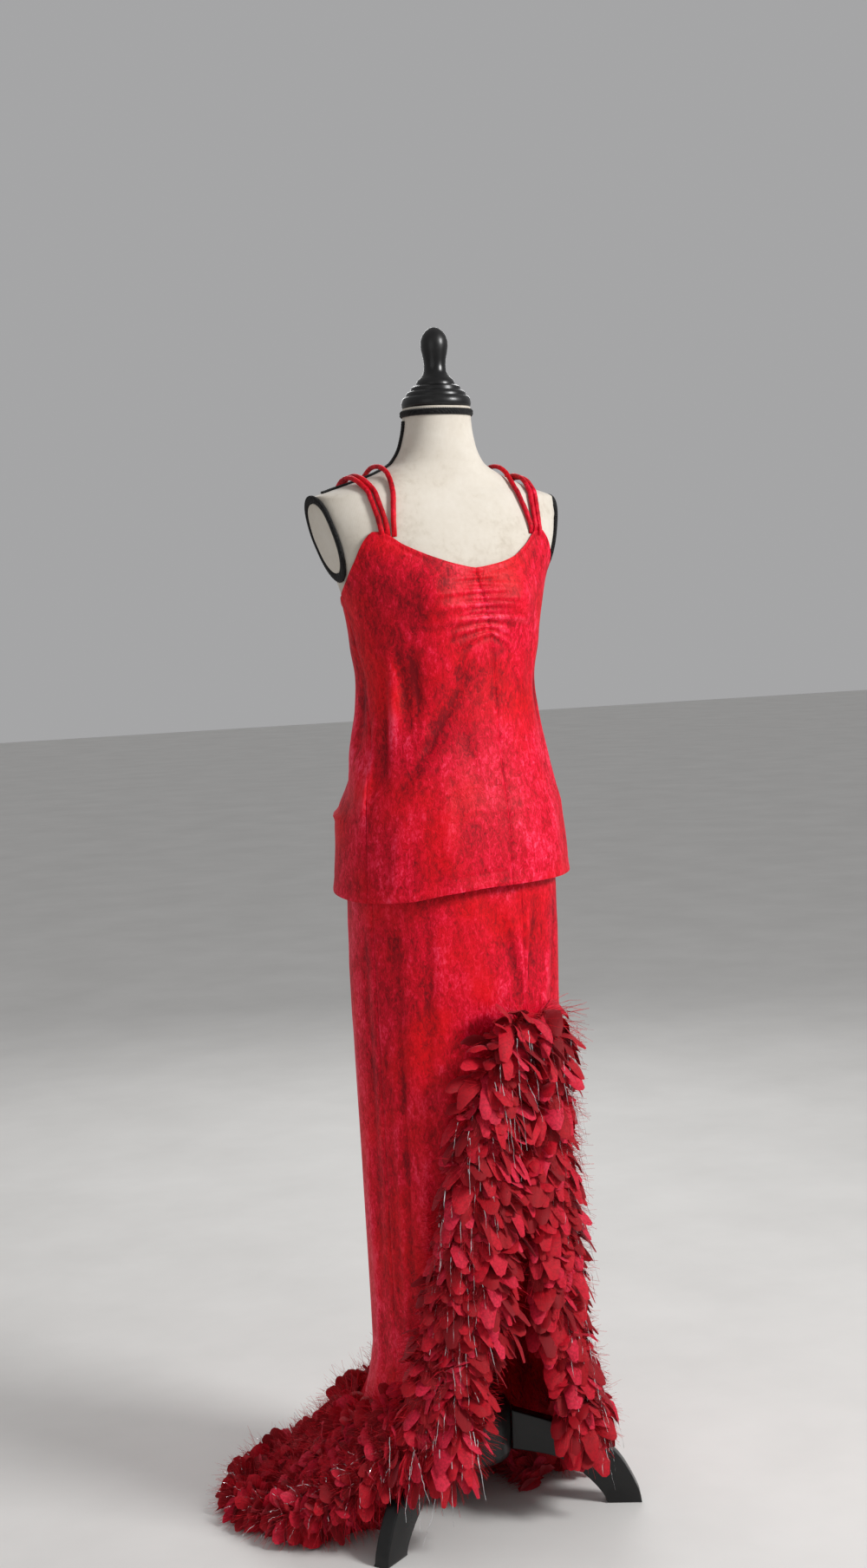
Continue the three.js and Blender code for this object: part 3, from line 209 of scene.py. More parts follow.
def curve(rows, column, at):
    """The value of a table's column at places between its rows, with no overshoot."""
    ordered = sorted(rows)
    x = np.array([row[0] for row in ordered], float)
    y = np.array([row[column] for row in ordered], float)
    place = np.clip(at, x[0], x[-1])
    slope = np.diff(y) / np.diff(x)
    before, after = slope[:-1], slope[1:]
    total = np.where(before * after > 0, before + after, 1)
    tangent = np.zeros(len(x))
    tangent[1:-1] = np.where(before * after > 0, 2 * before * after / total, 0)
    i = np.clip(np.searchsorted(x, place, side="right") - 1, 0, len(x) - 2)
    step = x[i + 1] - x[i]
    t = (place - x[i]) / step
    start, end, rise = tangent[i] * step, tangent[i + 1] * step, y[i + 1] - y[i]
    bend = t * t * (3 * rise - 2 * start - end) + t**3 * (start + end - 2 * rise)
    return y[i] + t * start + bend


def wrap_turn(turn):
    return turn - 360 * np.round(turn / 360)


def bell(x):
    return np.exp(-x * x)


def mix(a, b, t):
    return a + (b - a) * t


def smoothstep(x, low, high):
    t = np.clip((x - low) / (high - low), 0, 1)
    return t * t * (3 - 2 * t)


def section_radius(half, front, back, turn):
    angle = np.radians(turn)
    depth = np.where(np.cos(angle) > 0, front, back)
    across = np.abs(np.sin(angle)) / half
    along = np.abs(np.cos(angle)) / depth
    return (across**SECTION_POWER + along**SECTION_POWER) ** (-1 / SECTION_POWER)


def table_radius(rows, turn, z):
    return section_radius(curve(rows, 1, z), curve(rows, 2, z), curve(rows, 3, z), turn)


def point_at(turn, radius, z):
    """Points at turns and radii from the form's middle at their heights."""
    angle = np.radians(turn)
    shift = curve(FORM_SECTIONS, 4, z)
    x, y, z = np.broadcast_arrays(radius * np.sin(angle), shift - radius * np.cos(angle), z)
    return np.stack([x, y, z], -1).astype(float)


def form_radius(turn, z):
    sideways = (np.abs(wrap_turn(turn)) - BUST["turn"]) / BUST["wide"]
    bust = BUST["rise"] * bell(sideways) * bell((z - BUST["z"]) / BUST["tall"])
    return table_radius(FORM_SECTIONS, turn, z) + bust


def skin_radius(turn, z, distance):
    slope = (form_radius(turn, z + 2) - form_radius(turn, z - 2)) / 4
    return form_radius(turn, z) + distance * np.hypot(1, slope)


def fold_rise(folds, turn, z, soft_end=FOLD_END):
    """How far the folds in a table move the cloth in or out."""
    total = 0
    for top_turn, top_z, end_turn, end_z, rise, width in folds:
        along = np.clip((z - top_z) / (end_z - top_z), 0, 1)
        beyond = np.maximum(np.maximum(end_z - z, z - top_z), 0) / soft_end
        middle = mix(top_turn, end_turn, along)
        swell = 0.55 + 0.45 * np.sin(np.pi * along)
        total = total + rise * swell * bell(beyond) * bell(wrap_turn(turn - middle) / width)
    return total


def unit(vectors):
    length = np.linalg.norm(vectors, axis=-1, keepdims=True)
    return vectors / np.maximum(length, 1e-9)


def outward(points, rise=0):
    """The ways out from the pole to points, tipped up by a rise."""
    return unit(points * [1, 1, 0] + [0, 0, rise])


def steps_of(path):
    return np.linalg.norm(np.diff(path, axis=0), axis=1)


def smooth_path(points, count):
    """Evenly spaced points on a smooth curve through the given ones."""
    points = np.asarray(points, float)
    padded = np.vstack([2 * points[0] - points[1], points, 2 * points[-1] - points[-2]])
    t = np.linspace(0, 1, 12, endpoint=False)[:, None]
    dense = []
    for a, b, c, d in zip(padded, padded[1:], padded[2:], padded[3:]):
        dense.append(0.5 * (2 * b + (c - a) * t + (2 * a - 5 * b + 4 * c - d) * t**2
                            + (3 * b - a - 3 * c + d) * t**3))
    dense = np.vstack(dense + [points[-1:]])
    run = np.concatenate([[0], np.cumsum(steps_of(dense))])
    even = np.linspace(0, run[-1], count)
    return np.stack([np.interp(even, run, dense[:, k]) for k in range(points.shape[1])], -1)


# Meshes

def make_piece(name, node, points, faces, material, slot, sharp=None):
    """A mesh object from points in millimetres about the pole, in place of a node of the part."""
    mesh = bpy.data.meshes.new(name)
    mesh.from_pydata((np.asarray(points, float).reshape(-1, 3) * MM + POLE).tolist(), [], list(faces))
    mesh.polygons.foreach_set("use_smooth", [True] * len(mesh.polygons))
    if sharp:
        mesh.set_sharp_from_angle(angle=math.radians(sharp))
    mesh.materials.append(material)
    piece = bpy.data.objects.new(name, mesh)
    bpy.context.scene.collection.objects.link(piece)
    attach(piece, "root")
    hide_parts(node)
    return piece


def grid_faces(rows, columns, wrap_columns=False, wrap_rows=False, start=0):
    """Quads of a grid of points whose rows go up and columns go to the wearer's left."""
    r = np.arange(rows if wrap_rows else rows - 1)
    c = np.arange(columns if wrap_columns else columns - 1)
    r, c = (a.ravel() for a in np.meshgrid(r, c, indexing="ij"))
    up, over = (r + 1) % rows, (c + 1) % columns
    quads = [r * columns + c, r * columns + over, up * columns + over, up * columns + c]
    return (np.stack(quads, -1) + start).tolist()


def grid_normals(points, wrap_columns=False):
    if wrap_columns:
        across = np.roll(points, -1, 1) - np.roll(points, 1, 1)
    else:
        across = np.gradient(points, axis=1)
    return unit(np.cross(across, np.gradient(points, axis=0)))


def shell_faces(rows, columns, wrap_columns=False):
    """Faces of a thin closed shell whose outer points come first, and then its inner ones."""
    count = rows * columns
    faces = grid_faces(rows, columns, wrap_columns)
    faces += [face[::-1] for face in grid_faces(rows, columns, wrap_columns, start=count)]
    top = count - columns
    for c in range(columns if wrap_columns else columns - 1):
        d = (c + 1) % columns
        faces.append([count + c, count + d, d, c])
        faces.append([top + c, top + d, count + top + d, count + top + c])
    if not wrap_columns:
        for a in range(0, top, columns):
            b = a + columns
            faces.append([a, b, count + b, count + a])
            a, b = b - 1, b + columns - 1
            faces.append([b, a, count + a, count + b])
    return faces


def shell(points, thickness, wrap_columns=False):
    """A thin closed shell behind a grid of outer points: its points and faces."""
    inner = points - grid_normals(points, wrap_columns) * thickness
    both = np.concatenate([points.reshape(-1, 3), inner.reshape(-1, 3)])
    return both, shell_faces(*points.shape[:2], wrap_columns)


def sweep(path, outs, section, closed=False):
    """Rings of a section swept along a path. The section's pairs go across and out."""
    if closed:
        along = unit(np.roll(path, -1, 0) - np.roll(path, 1, 0))
    else:
        along = unit(np.gradient(path, axis=0))
    across = unit(np.cross(outs, along))
    out = unit(np.cross(along, across))
    section = np.asarray(section, float)
    if section.ndim == 2:
        section = np.broadcast_to(section, (len(path),) + section.shape)
    side, rise = section[..., 0:1], section[..., 1:2]
    return path[:, None] + across[:, None] * side + out[:, None] * rise


def tube_faces(rings, sides, closed=False):
    faces = grid_faces(rings, sides, wrap_columns=True, wrap_rows=closed)
    if not closed:
        faces.append(list(range(sides))[::-1])
        faces.append([(rings - 1) * sides + i for i in range(sides)])
    return faces


def lathe(profile, sides):
    """A closed turned piece from pairs of radius and height, from the bottom up."""
    profile = np.asarray(profile, float)
    angle = np.linspace(0, 2 * np.pi, sides, endpoint=False)
    ring = np.stack([np.sin(angle), -np.cos(angle)], -1)
    points = np.zeros((len(profile), sides, 3))
    points[..., :2] = profile[:, None, :1] * ring
    points[..., 2] = profile[:, 1:]
    return points.reshape(-1, 3), tube_faces(len(profile), sides)


# Materials

class Look:
    """A material made from shader nodes on the object's own coordinates."""

    def __init__(self, name, **sockets):
        self.material = bpy.data.materials.new(name)
        self.material.use_nodes = True
        self.tree = self.material.node_tree
        self.shader = self.tree.nodes["Principled BSDF"]
        for socket, value in sockets.items():
            self.shader.inputs[socket.replace("_", " ")].default_value = value
        self.place = self.node("TexCoord").outputs["Object"]

    def node(self, kind, inputs=None, **settings):
        made = self.tree.nodes.new("ShaderNode" + kind)
        for key, value in settings.items():
            setattr(made, key, value)
        for key, value in (inputs or {}).items():
            if isinstance(value, bpy.types.NodeSocket):
                self.tree.links.new(value, made.inputs[key])
            else:
                made.inputs[key].default_value = value
        return made

    def stretched(self, scale):
        return self.node("Mapping", {"Vector": self.place, "Scale": scale}).outputs["Vector"]

    def noise(self, scale, detail=3, roughness=0.5, at=None, distortion=0):
        inputs = {"Vector": at or self.place, "Scale": scale, "Detail": detail,
                  "Roughness": roughness, "Distortion": distortion}
        return self.node("TexNoise", inputs).outputs["Fac"]

    def ramp(self, value, stops):
        made = self.node("ValToRGB", {"Fac": value})
        ramp = made.color_ramp
        while len(ramp.elements) < len(stops):
            ramp.elements.new(0.5)
        for element, (position, color) in zip(ramp.elements, stops):
            element.position = position
            element.color = color if len(color) == 4 else (*color, 1)
        return made.outputs["Color"]

    def math(self, operation, a, b):
        return self.node("Math", {0: a, 1: b}, operation=operation).outputs[0]

    def total(self, *shares):
        """The sum of values, each times its share."""
        terms = [self.math("MULTIPLY", value, share) for value, share in shares]
        whole = terms[0]
        for term in terms[1:]:
            whole = self.math("ADD", whole, term)
        return whole

    def mixed(self, factor, a, b):
        inputs = {"Factor": factor, "A": a, "B": b}
        return self.node("Mix", inputs, data_type="RGBA").outputs["Result"]

    def waves(self, scale, distortion, direction, **inputs):
        inputs = {"Vector": self.place, "Scale": scale, "Distortion": distortion, **inputs}
        return self.node("TexWave", inputs, bands_direction=direction).outputs["Fac"]

    def bump(self, height, strength, distance, before=None):
        inputs = {"Height": height, "Strength": strength, "Distance": distance}
        if before:
            inputs["Normal"] = before
        return self.node("Bump", inputs).outputs["Normal"]

    def set(self, socket, value):
        self.tree.links.new(value, self.shader.inputs[socket])


def grey(value):
    return (value, value, value)


def velvet_look():
    look = Look("crushed_velvet", Sheen_Weight=0.35, Sheen_Roughness=0.35, Sheen_Tint=(1.0, 0.06, 0.14, 1),
                Specular_IOR_Level=0.18)
    streaky = look.stretched((1.0, 1.0, 0.45))
    patches = look.noise(52, 5, 0.66, streaky, 0.8)
    crush = look.noise(250, 5, 0.66, look.stretched((1.0, 1.0, 0.5)), 1.0)
    pile = look.noise(900, 2, 0.5, look.stretched((1.0, 1.0, 0.5)))
    large = look.noise(9, 2, 0.5)
    # Painted shade and highlight: the cloth's fold attribute darkens the colour in the troughs of its folds
    # and lightens it on their ridges.
    fold_shade = look.node("Attribute", attribute_name="fold_shade").outputs["Fac"]
    tone = look.total((patches, 0.36), (crush, 0.48), (large, 0.16), (fold_shade, 0.09))
    plain = look.ramp(tone, [
        (0.36, (0.22, 0.0, 0.003)),
        (0.45, (0.48, 0.0, 0.003)),
        (0.54, (0.70, 0.0, 0.004)),
        (0.66, (0.84, 0.003, 0.010)),
    ])
    crushed = look.ramp(tone, [
        (0.38, (0.20, 0.0, 0.005)),
        (0.46, (0.45, 0.0, 0.010)),
        (0.52, (0.65, 0.0, 0.018)),
        (0.575, (0.82, 0.011, 0.050)),
        (0.65, (0.95, 0.068, 0.140)),
    ])
    swept = look.ramp(look.noise(7, 3, 0.55), [(0.40, grey(0.15)), (0.56, grey(1.0))])
    look.set("Base Color", look.mixed(swept, plain, crushed))
    look.set("Roughness", look.ramp(tone, [(0.35, grey(0.62)), (0.65, grey(0.40))]))
    normal = look.bump(crush, 0.5, 0.0012)
    normal = look.bump(patches, 0.35, 0.002, normal)
    look.set("Normal", look.bump(pile, 0.35, 0.0003, normal))
    return look.material


def feather_look():
    look = Look("feather_vane", Sheen_Weight=0.5, Sheen_Roughness=0.4, Sheen_Tint=(1.0, 0.2, 0.25, 1),
                Specular_IOR_Level=0.25, Roughness=0.6)
    vane = look.node("Attribute", attribute_name="vane").outputs["Vector"]
    parts = look.node("SeparateXYZ", {"Vector": vane}).outputs
    color = look.ramp(parts["Z"], [
        (0.0, (0.20, 0.0, 0.004)),
        (0.35, (0.42, 0.0, 0.008)),
        (0.65, (0.60, 0.002, 0.018)),
        (1.0, (0.76, 0.018, 0.062)),
    ])
    mottle = look.ramp(look.noise(260, 3, 0.6), [(0.35, grey(0.5)), (0.6, grey(0.0))])
    look.set("Base Color", look.mixed(mottle, color, (0.2, 0.001, 0.006, 1)))
    barbs = look.math("SINE", look.total((parts["Y"], 260.0), (parts["X"], 60.0)), 0.0)
    look.set("Normal", look.bump(barbs, 0.35, 0.0003))
    return look.material


def fluff_look():
    look = Look("feather_down", Sheen_Weight=0.8, Sheen_Roughness=0.5, Sheen_Tint=(1.0, 0.15, 0.18, 1),
                Roughness=0.85, Specular_IOR_Level=0.1)
    tone = look.noise(60, 3, 0.6)
    look.set("Base Color", look.ramp(tone, [(0.3, (0.34, 0.001, 0.006)), (0.7, (0.78, 0.010, 0.026))]))
    return look.material


def tinsel_look():
    look = Look("silver_tinsel", Metallic=0.75, Roughness=0.22)
    tone = look.noise(240, 2, 0.5)
    look.set("Base Color", look.ramp(tone, [(0.3, (0.62, 0.62, 0.66)), (0.7, (0.95, 0.95, 0.97))]))
    return look.material


def jersey_look():
    look = Look("cream_jersey", Roughness=0.9, Sheen_Weight=0.25, Specular_IOR_Level=0.2)
    blotch = look.noise(14, 4, 0.6)
    speck = look.noise(130, 3, 0.6)
    look.set("Base Color", look.ramp(look.total((blotch, 0.7), (speck, 0.3)), [
        (0.30, (0.50, 0.44, 0.36)),
        (0.46, (0.62, 0.565, 0.485)),
        (0.66, (0.67, 0.62, 0.545)),
    ]))
    ribs = look.waves(240.0, 0.6, "Z", Detail=1.0)
    wales = look.waves(200.0, 0.6, "X", Detail=1.0)
    normal = look.bump(look.math("MULTIPLY", ribs, wales), 0.25, 0.0003)
    look.set("Normal", look.bump(blotch, 0.1, 0.002, normal))
    return look.material


def braid_look():
    look = Look("black_braid", Roughness=0.8, Sheen_Weight=0.08, Specular_IOR_Level=0.2)
    tone = look.noise(300, 3, 0.6)
    look.set("Base Color", look.ramp(tone, [(0.35, (0.003, 0.003, 0.0035)), (0.7, (0.016, 0.015, 0.015))]))
    look.set("Normal", look.bump(look.waves(130.0, 1.5, "DIAGONAL"), 0.8, 0.0008))
    return look.material


def black_wood_look():
    look = Look("black_lacquer", Specular_IOR_Level=0.35, Coat_Weight=0.12, Coat_Roughness=0.2)
    grain = look.noise(60, 4, 0.6, look.stretched((1, 1, 0.15)))
    scuff = look.noise(16, 5, 0.65)
    look.set("Base Color", look.ramp(scuff, [
        (0.40, (0.0025, 0.0025, 0.0028)),
        (0.75, (0.010, 0.0095, 0.0095)),
    ]))
    look.set("Roughness", look.ramp(scuff, [(0.35, grey(0.26)), (0.7, grey(0.44))]))
    look.set("Normal", look.bump(grain, 0.15, 0.0008))
    return look.material


def floor_look():
    look = Look("studio_floor", Roughness=0.75, Specular_IOR_Level=0.2)
    tone = look.noise(3, 4, 0.6)
    look.set("Base Color", look.ramp(tone, [(0.3, (0.70, 0.69, 0.67)), (0.7, (0.76, 0.75, 0.73))]))
    return look.material


velvet = velvet_look()
feather = feather_look()
down = fluff_look()
tinsel = tinsel_look()
jersey = jersey_look()
braid = braid_look()
black_wood = black_wood_look()


# The form

def inside_form(points):
    y = points[..., 1] - curve(FORM_SECTIONS, 4, points[..., 2])
    turn = np.degrees(np.arctan2(points[..., 0], -y))
    away = np.hypot(points[..., 0], y)
    return (points[..., 2] < NECK_TOP) & (away < form_radius(turn, points[..., 2]))


def form_surface(origins, directions):
    """Where rays that start in the form leave it, by strides and then by halving."""
    stride, farthest, halvings = 4.0, 400, 18
    far = np.arange(0, farthest, stride)
    along = origins[:, None] + directions[:, None] * far[None, :, None]
    outside = ~inside_form(along)
    near = far[np.argmax(outside, axis=1)] - stride
    away = near + stride
    for _ in range(halvings):
        middle = (near + away) / 2
        within = inside_form(origins + directions * middle[:, None])
        near = np.where(within, middle, near)
        away = np.where(within, away, middle)
    return origins + directions * near[:, None]


def form_out(points):
    """The way out of the form's skin."""
    def depth(p):
        y = p[..., 1] - curve(FORM_SECTIONS, 4, p[..., 2])
        return np.hypot(p[..., 0], y) / form_radius(np.degrees(np.arctan2(p[..., 0], -y)), p[..., 2])

    here = depth(points)
    return unit(np.stack([depth(points + step) - here for step in np.eye(3)], -1))


def arm_plane(side):
    """An arm flat's plane: a point on it, its way out, back and up."""
    (top_x, top_z), (bottom_x, bottom_z) = ARM_FLAT["top"], ARM_FLAT["bottom"]
    up = unit(np.array([side * (top_x - bottom_x), 0, top_z - bottom_z], float))
    out = np.array([up[2] * side, 0, -up[0] * side])
    return np.array([side * top_x, 0.0, top_z]), out, np.array([0.0, 1.0, 0.0]), up


def arm_outline(side, count):
    """The egg-shaped edge of an arm flat, in distances back and up in its plane."""
    origin, out, back, up = arm_plane(side)
    below_top, under_flat, behind_pole, kept_waves = 48, 0.5, 20, 5
    middle = origin - up * below_top - out * under_flat
    middle[1] = behind_pole
    angle = np.linspace(0, 2 * np.pi, count, endpoint=False)
    ways = back * np.cos(angle)[:, None] + up * np.sin(angle)[:, None]
    edge = form_surface(np.repeat(middle[None], count, 0), ways) - origin
    # The braid and the plate round off the corners where the shoulder meets the flat.
    waves = np.fft.fft((edge @ back) + 1j * (edge @ up))
    waves[kept_waves + 1:-kept_waves] = 0
    round_edge = np.fft.ifft(waves)
    return np.stack([round_edge.real, round_edge.imag], -1)


def flat_ring(side, outline, lift):
    origin, out, back, up = arm_plane(side)
    return origin + out * lift + outline[:, :1] * back + outline[:, 1:] * up


def make_form():
    columns = 160
    # Stretches of rings: the lowest and highest heights, and how many. They are closest on the shoulder.
    stretches = [
        (FORM_BOTTOM + 3, 1330, 84), (1330, 1440, 44), (1440, 1510, 48), (1510, NECK_TOP - 1, 16),
    ]
    heights = [np.linspace(low, high, count, endpoint=False) for low, high, count in stretches]
    z = np.concatenate([[FORM_BOTTOM, FORM_BOTTOM + 1], *heights, [NECK_TOP - 0.5, NECK_TOP]])[:, None]
    turn = np.linspace(0, 360, columns, endpoint=False)[None, :]
    rounded = np.ones_like(z)
    rounded[[0, -1]] = 0.985
    radius = form_radius(turn, z) * rounded
    for side in (-1, 1):
        origin, out, _, _ = arm_plane(side)
        facing = out[0] * np.sin(np.radians(turn))
        ahead = facing > 0.05
        flat = (origin[0] * out[0] - (z - origin[2]) * out[2]) / np.where(ahead, facing, 1)
        cut = ahead & (z > ARM_FLAT["bottom"][1] - 3) & (flat > 0)
        radius = np.where(cut, np.minimum(radius, flat), radius)
    points = point_at(turn, radius, z)
    make_piece("dress_form_torso", "form_torso", points, tube_faces(len(z), columns), jersey, "jersey", 50)


# Rings of an arm plate and of the braid round it: share of the outline's size and lift from the flat,
# and how much of the weave's wave a ring of the braid has.
PLATE_RINGS = [(0.815, 0.3), (0.82, 4.4), (0.812, 5.0), (0.79, 5.25), (0.5, 5.4), (0.02, 5.4)]
ARM_BRAID_RINGS = [
    (0.835, 0.3, 0), (0.828, 3.2, 0), (0.84, 5.3, 0), (0.885, 6.0, 1), (0.93, 5.7, -1),
    (0.975, 5.9, 1), (1.005, 4.6, 0), (1.0, 2.4, 0), (0.985, 0.3, 0),
]


def make_arm_flats():
    count = 360
    loop_height, weave_height = 1.6, 0.35
    loop_turn = np.linspace(0, np.pi * ARM_LOOPS, count, endpoint=False)[:, None]
    loops = loop_height * np.abs(np.sin(loop_turn))
    weave = weave_height * np.sin(2 * loop_turn)
    for name, side in (("right", -1), ("left", 1)):
        outline = arm_outline(side, count)
        centre = outline.mean(0)
        from_centre = outline - centre
        points = [flat_ring(side, from_centre * scale + centre, lift) for scale, lift in PLATE_RINGS]
        faces = tube_faces(len(points), count)
        if side < 0:
            faces = [face[::-1] for face in faces]
        make_piece("arm_plate_" + name, "form_arm_plate_" + name, np.concatenate(points), faces, jersey,
                   "jersey", 50)
        rings = []
        for scale, lift, woven in ARM_BRAID_RINGS:
            edge = from_centre * scale + centre
            if scale >= 1:
                edge = edge + unit(from_centre) * loops
            rings.append(flat_ring(side, edge, lift) + arm_plane(side)[1] * weave * woven)
        faces = grid_faces(len(rings), count, wrap_columns=True, wrap_rows=True)
        if side > 0:
            faces = [face[::-1] for face in faces]
        make_piece("arm_braid_" + name, "braid_arm_" + name, np.concatenate(rings), faces, braid, "braid")


def braid_sections(count, length, width=BRAID_WIDTH):
    """Sections of a flat braid whose edges run in small loops."""
    run = np.linspace(0, length, count)
    loops = np.abs(np.sin(run * np.pi / BRAID_LOOP))
    weave = 0.3 * np.sin(run * 2 * np.pi / BRAID_LOOP)
    half = width / 2
    zero = np.zeros(count)
    section = [
        (-half, zero), (half, zero), (half + 0.9 * loops, zero + 1.1),
        (half - 0.8, zero + 2.4), (half * 0.5, 2.9 + weave), (zero, 2.5 - weave),
        (-half * 0.5, 2.9 + weave), (-half + 0.8, zero + 2.4), (-half - 0.9 * loops, zero + 1.1),
    ]
    return np.stack([np.stack([a + zero, b + zero], -1) for a, b in section], 1)


def shoulder_crest(side):
    """Points on the highest line of the shoulder, from the arm flat in to the neck."""
    tries = 46
    back = np.linspace(-30, 60, tries)
    crest = []
    for across in (171, 150, 130, 112, 96, 82, 70):
        low = np.stack([np.full(tries, side * across), back, np.full(tries, 1400.0)], -1)
        tops = form_surface(low, np.repeat(-DOWN[None], tries, 0))
        crest.append(tops[np.argmax(tops[:, 2])])
    return crest


def make_braids():
    level = NECK_TOP - BRAID_WIDTH
    rings, sides, neck_radius = 320, 9, 46
    turn = np.linspace(0, 360, rings, endpoint=False)
    ring = point_at(turn, form_radius(turn, level) + 0.6, level)
    points = sweep(ring, outward(ring), braid_sections(rings, 2 * np.pi * neck_radius), closed=True)
    make_piece("neck_braid", "braid_neck", points, tube_faces(rings, sides, closed=True), braid, "braid")
    rings = 200
    for name, side in (("right", -1), ("left", 1)):
        rise = np.array([1508, 1524, 1544, 1564], float)
        neck_turn = side * 100
        neck = point_at(neck_turn, form_radius(neck_turn, rise), rise)
        path = np.vstack([shoulder_crest(side), neck])
        # The crest is nearly level from front to back, so its places there are evened out.
        for _ in range(3):
            path[1:-1, 1] = (path[:-2, 1] + path[1:-1, 1] + path[2:, 1]) / 3
        path = smooth_path(path, rings)
        outs = form_out(path)
        path = form_surface(path - outs * 20, outs)
        outs = form_out(path)
        points = sweep(path + outs * 0.3, outs, braid_sections(rings, steps_of(path).sum()))
        make_piece("shoulder_braid_" + name, "braid_shoulder_" + name, points, tube_faces(rings, sides),
                   braid, "braid")


# The neck cap: radius and height above the neck's top.
CAP_PROFILE = [
    (0.5, 0), (46.4, 0), (48, 1.2), (49, 4), (48.8, 8), (47.6, 12), (45.5, 14.6), (42.6, 15.4),
    (42.4, 17.5), (41.8, 20), (39, 22.4), (35.4, 23.4), (35.2, 25.6), (34.6, 28), (31, 30.4),
    (27.4, 31.2), (27.2, 33.6), (25.6, 37.5), (21.5, 41.5), (18, 45.5), (15.8, 51), (15.2, 59),
    (16, 67), (18, 77), (19.2, 85), (18.8, 93), (16.6, 99.5), (13, 105), (8, 109.4), (3, 111.6),
    (0.4, 112),
]


def make_turned(name, node, profile, sides):
    make_piece(name, node, *lathe(profile, sides), black_wood, "black_wood", 40)


def make_neck_cap():
    base = NECK_TOP + 0.3
    make_turned("neck_cap_turned", "form_neck_cap", [(r, z + base) for r, z in CAP_PROFILE], 96)


# The stand

# The hub: radius and height above the floor.
HUB_PROFILE = [
    (0.5, 66), (39, 66), (41, 66.8), (53, 73), (55, 74.6), (57.8, 82.6), (58.6, 85.5), (58.6, 144.5),
    (57.8, 147.4), (52.5, 155), (50.4, 157), (39.5, 163), (37.4, 165), (34.2, 174), (34.4, 177),
    (38.6, 184.4), (39.4, 187), (38, 194), (36, 197), (25.4, 202.6), (23.6, 204.6), (21.2, 213.6),
    (20.4, 215), (0.5, 215),
]


def rounded_board(name, node, outline, half, edge, place):
    """A board with rounded edges from its outline, placed by a function of run, side and height."""
    following, preceding = np.roll(outline, -1, 0), np.roll(outline, 1, 0)
    along = unit(following - preceding)
    inward = np.stack([along[:, 1], -along[:, 0]], -1)
    area = 0.5 * np.sum(outline[:, 0] * following[:, 1] - outline[:, 1] * following[:, 0])
    inward = inward if area < 0 else -inward
    angles = np.linspace(0, np.pi / 2, 5)
    rings = [(edge * (1 - np.sin(angle)), edge * (1 - np.cos(angle)) - half) for angle in angles]
    rings.sort(key=lambda ring: ring[1])
    rings += [(inset, -side) for inset, side in reversed(rings)]
    points = np.concatenate([place(outline + inward * inset, side) for inset, side in rings])
    faces = tube_faces(len(rings), len(outline))
    make_piece(name, node, points, faces, black_wood, "black_wood", 40)


def make_stand():
    top, bottom = FORM_BOTTOM - 0.3, HUB_PROFILE[-1][1] + 0.3
    radius, edge = 14, 0.8
    profile = [(radius - 0.6, bottom), (radius, bottom + edge), (radius, top - edge), (radius - 0.6, top)]
    make_turned("stand_pole", "form_pole", profile, 64)
    make_turned("stand_hub_turned", "stand_hub", HUB_PROFILE, 96)
    outline = np.vstack([smooth_path(LEG_TOP, 60), smooth_path(LEG_UNDERSIDE, 50)])
    for name, turn in LEG_TURNS.items():
        angle = math.radians(turn)
        way = np.array([math.sin(angle), -math.cos(angle), 0])
        across = np.array([math.cos(angle), math.sin(angle), 0])

        def place(pairs, side):
            return pairs[:, :1] * way + across * side + pairs[:, 1:] * np.array([0, 0, 1.0])

        rounded_board("leg_" + name, "stand_leg_" + name, outline, LEG_BOARD / 2, 2.2, place)


# The cloth

def panel_columns(count):
    """Parts of the way across a panel, closer together beside its seams."""
    near = [0, 0.004, 0.009, 0.015, 0.023]
    return np.array([*near, *np.linspace(0.035, 0.965, count), *[1 - a for a in reversed(near)]])


def sewn_edges(points, depth, depth_width=2.4):
    """Lets a panel's surface sink into the seams at its two sides, with fine uneven puckers."""
    normals = grid_normals(points)
    step = np.linalg.norm(np.diff(points, axis=1), axis=2)
    run = np.concatenate([np.zeros((len(points), 1)), np.cumsum(step, axis=1)], axis=1)
    beside = np.minimum(run, run[:, -1:] - run)
    z = points[..., 2]
    pucker = 0.3 * np.sin(z / 4.1) * np.sin(z / 17.0 + 1.3) * bell(beside / 9)
    return points + normals * (pucker - depth * bell(beside / depth_width))[..., None]


def top_radius(turn, z):
    skin = skin_radius(turn, z, CLING)
    folds = fold_rise(TOP_FOLDS, turn, z)
    hang = table_radius(TOP_HANG, turn, z) + folds + fold_rise(TOP_CREASES, turn, z, CREASE_END)
    blended = (skin + hang + np.hypot(skin - hang, 4)) / 2
    return np.maximum(blended, skin)


def gather_rise(turn, z):
    """The ridges and troughs of the gathered bust beside the front seam."""
    seam = curve(TOP_SEAMS, 2, z)
    away = turn - seam
    total = 0
    for height, right_reach, right_drop, left_reach, left_drop, depth, width in GATHERS:
        reach = np.where(away < 0, right_reach, left_reach)
        drop = np.where(away < 0, right_drop, left_drop)
        share = np.abs(away) / reach
        middle = height - drop * share**1.4
        fade = np.clip(1 - share, 0, 1) ** 0.6
        tight = width * (0.75 + 0.6 * share)
        total = total - 0.9 * depth * fade * bell((z - middle) / tight)
        total = total + 0.85 * depth * fade * bell((z - middle - 5.0) / (tight * 1.2))
    return total


def make_panel(node, grid):
    """A panel of cloth from its grid of points and how far its folds rise there, which also sets the shade
    and highlight painted on its folds.
    """
    points, rise = grid
    both, faces = shell(sewn_edges(points, 1.0), CLOTH)
    piece = make_piece(node + "_cloth", node, both, faces, velvet, "velvet", 60)
    # Painted shade and highlight: troughs darken the velvet more strongly than ridges lighten it.
    shade = np.clip(np.concatenate([rise.ravel(), rise.ravel()]) / 3.5, -1.4, 1)
    fold_shade = piece.data.attributes.new("fold_shade", "FLOAT", "POINT")
    fold_shade.data.foreach_set("value", shade.astype(np.float32))


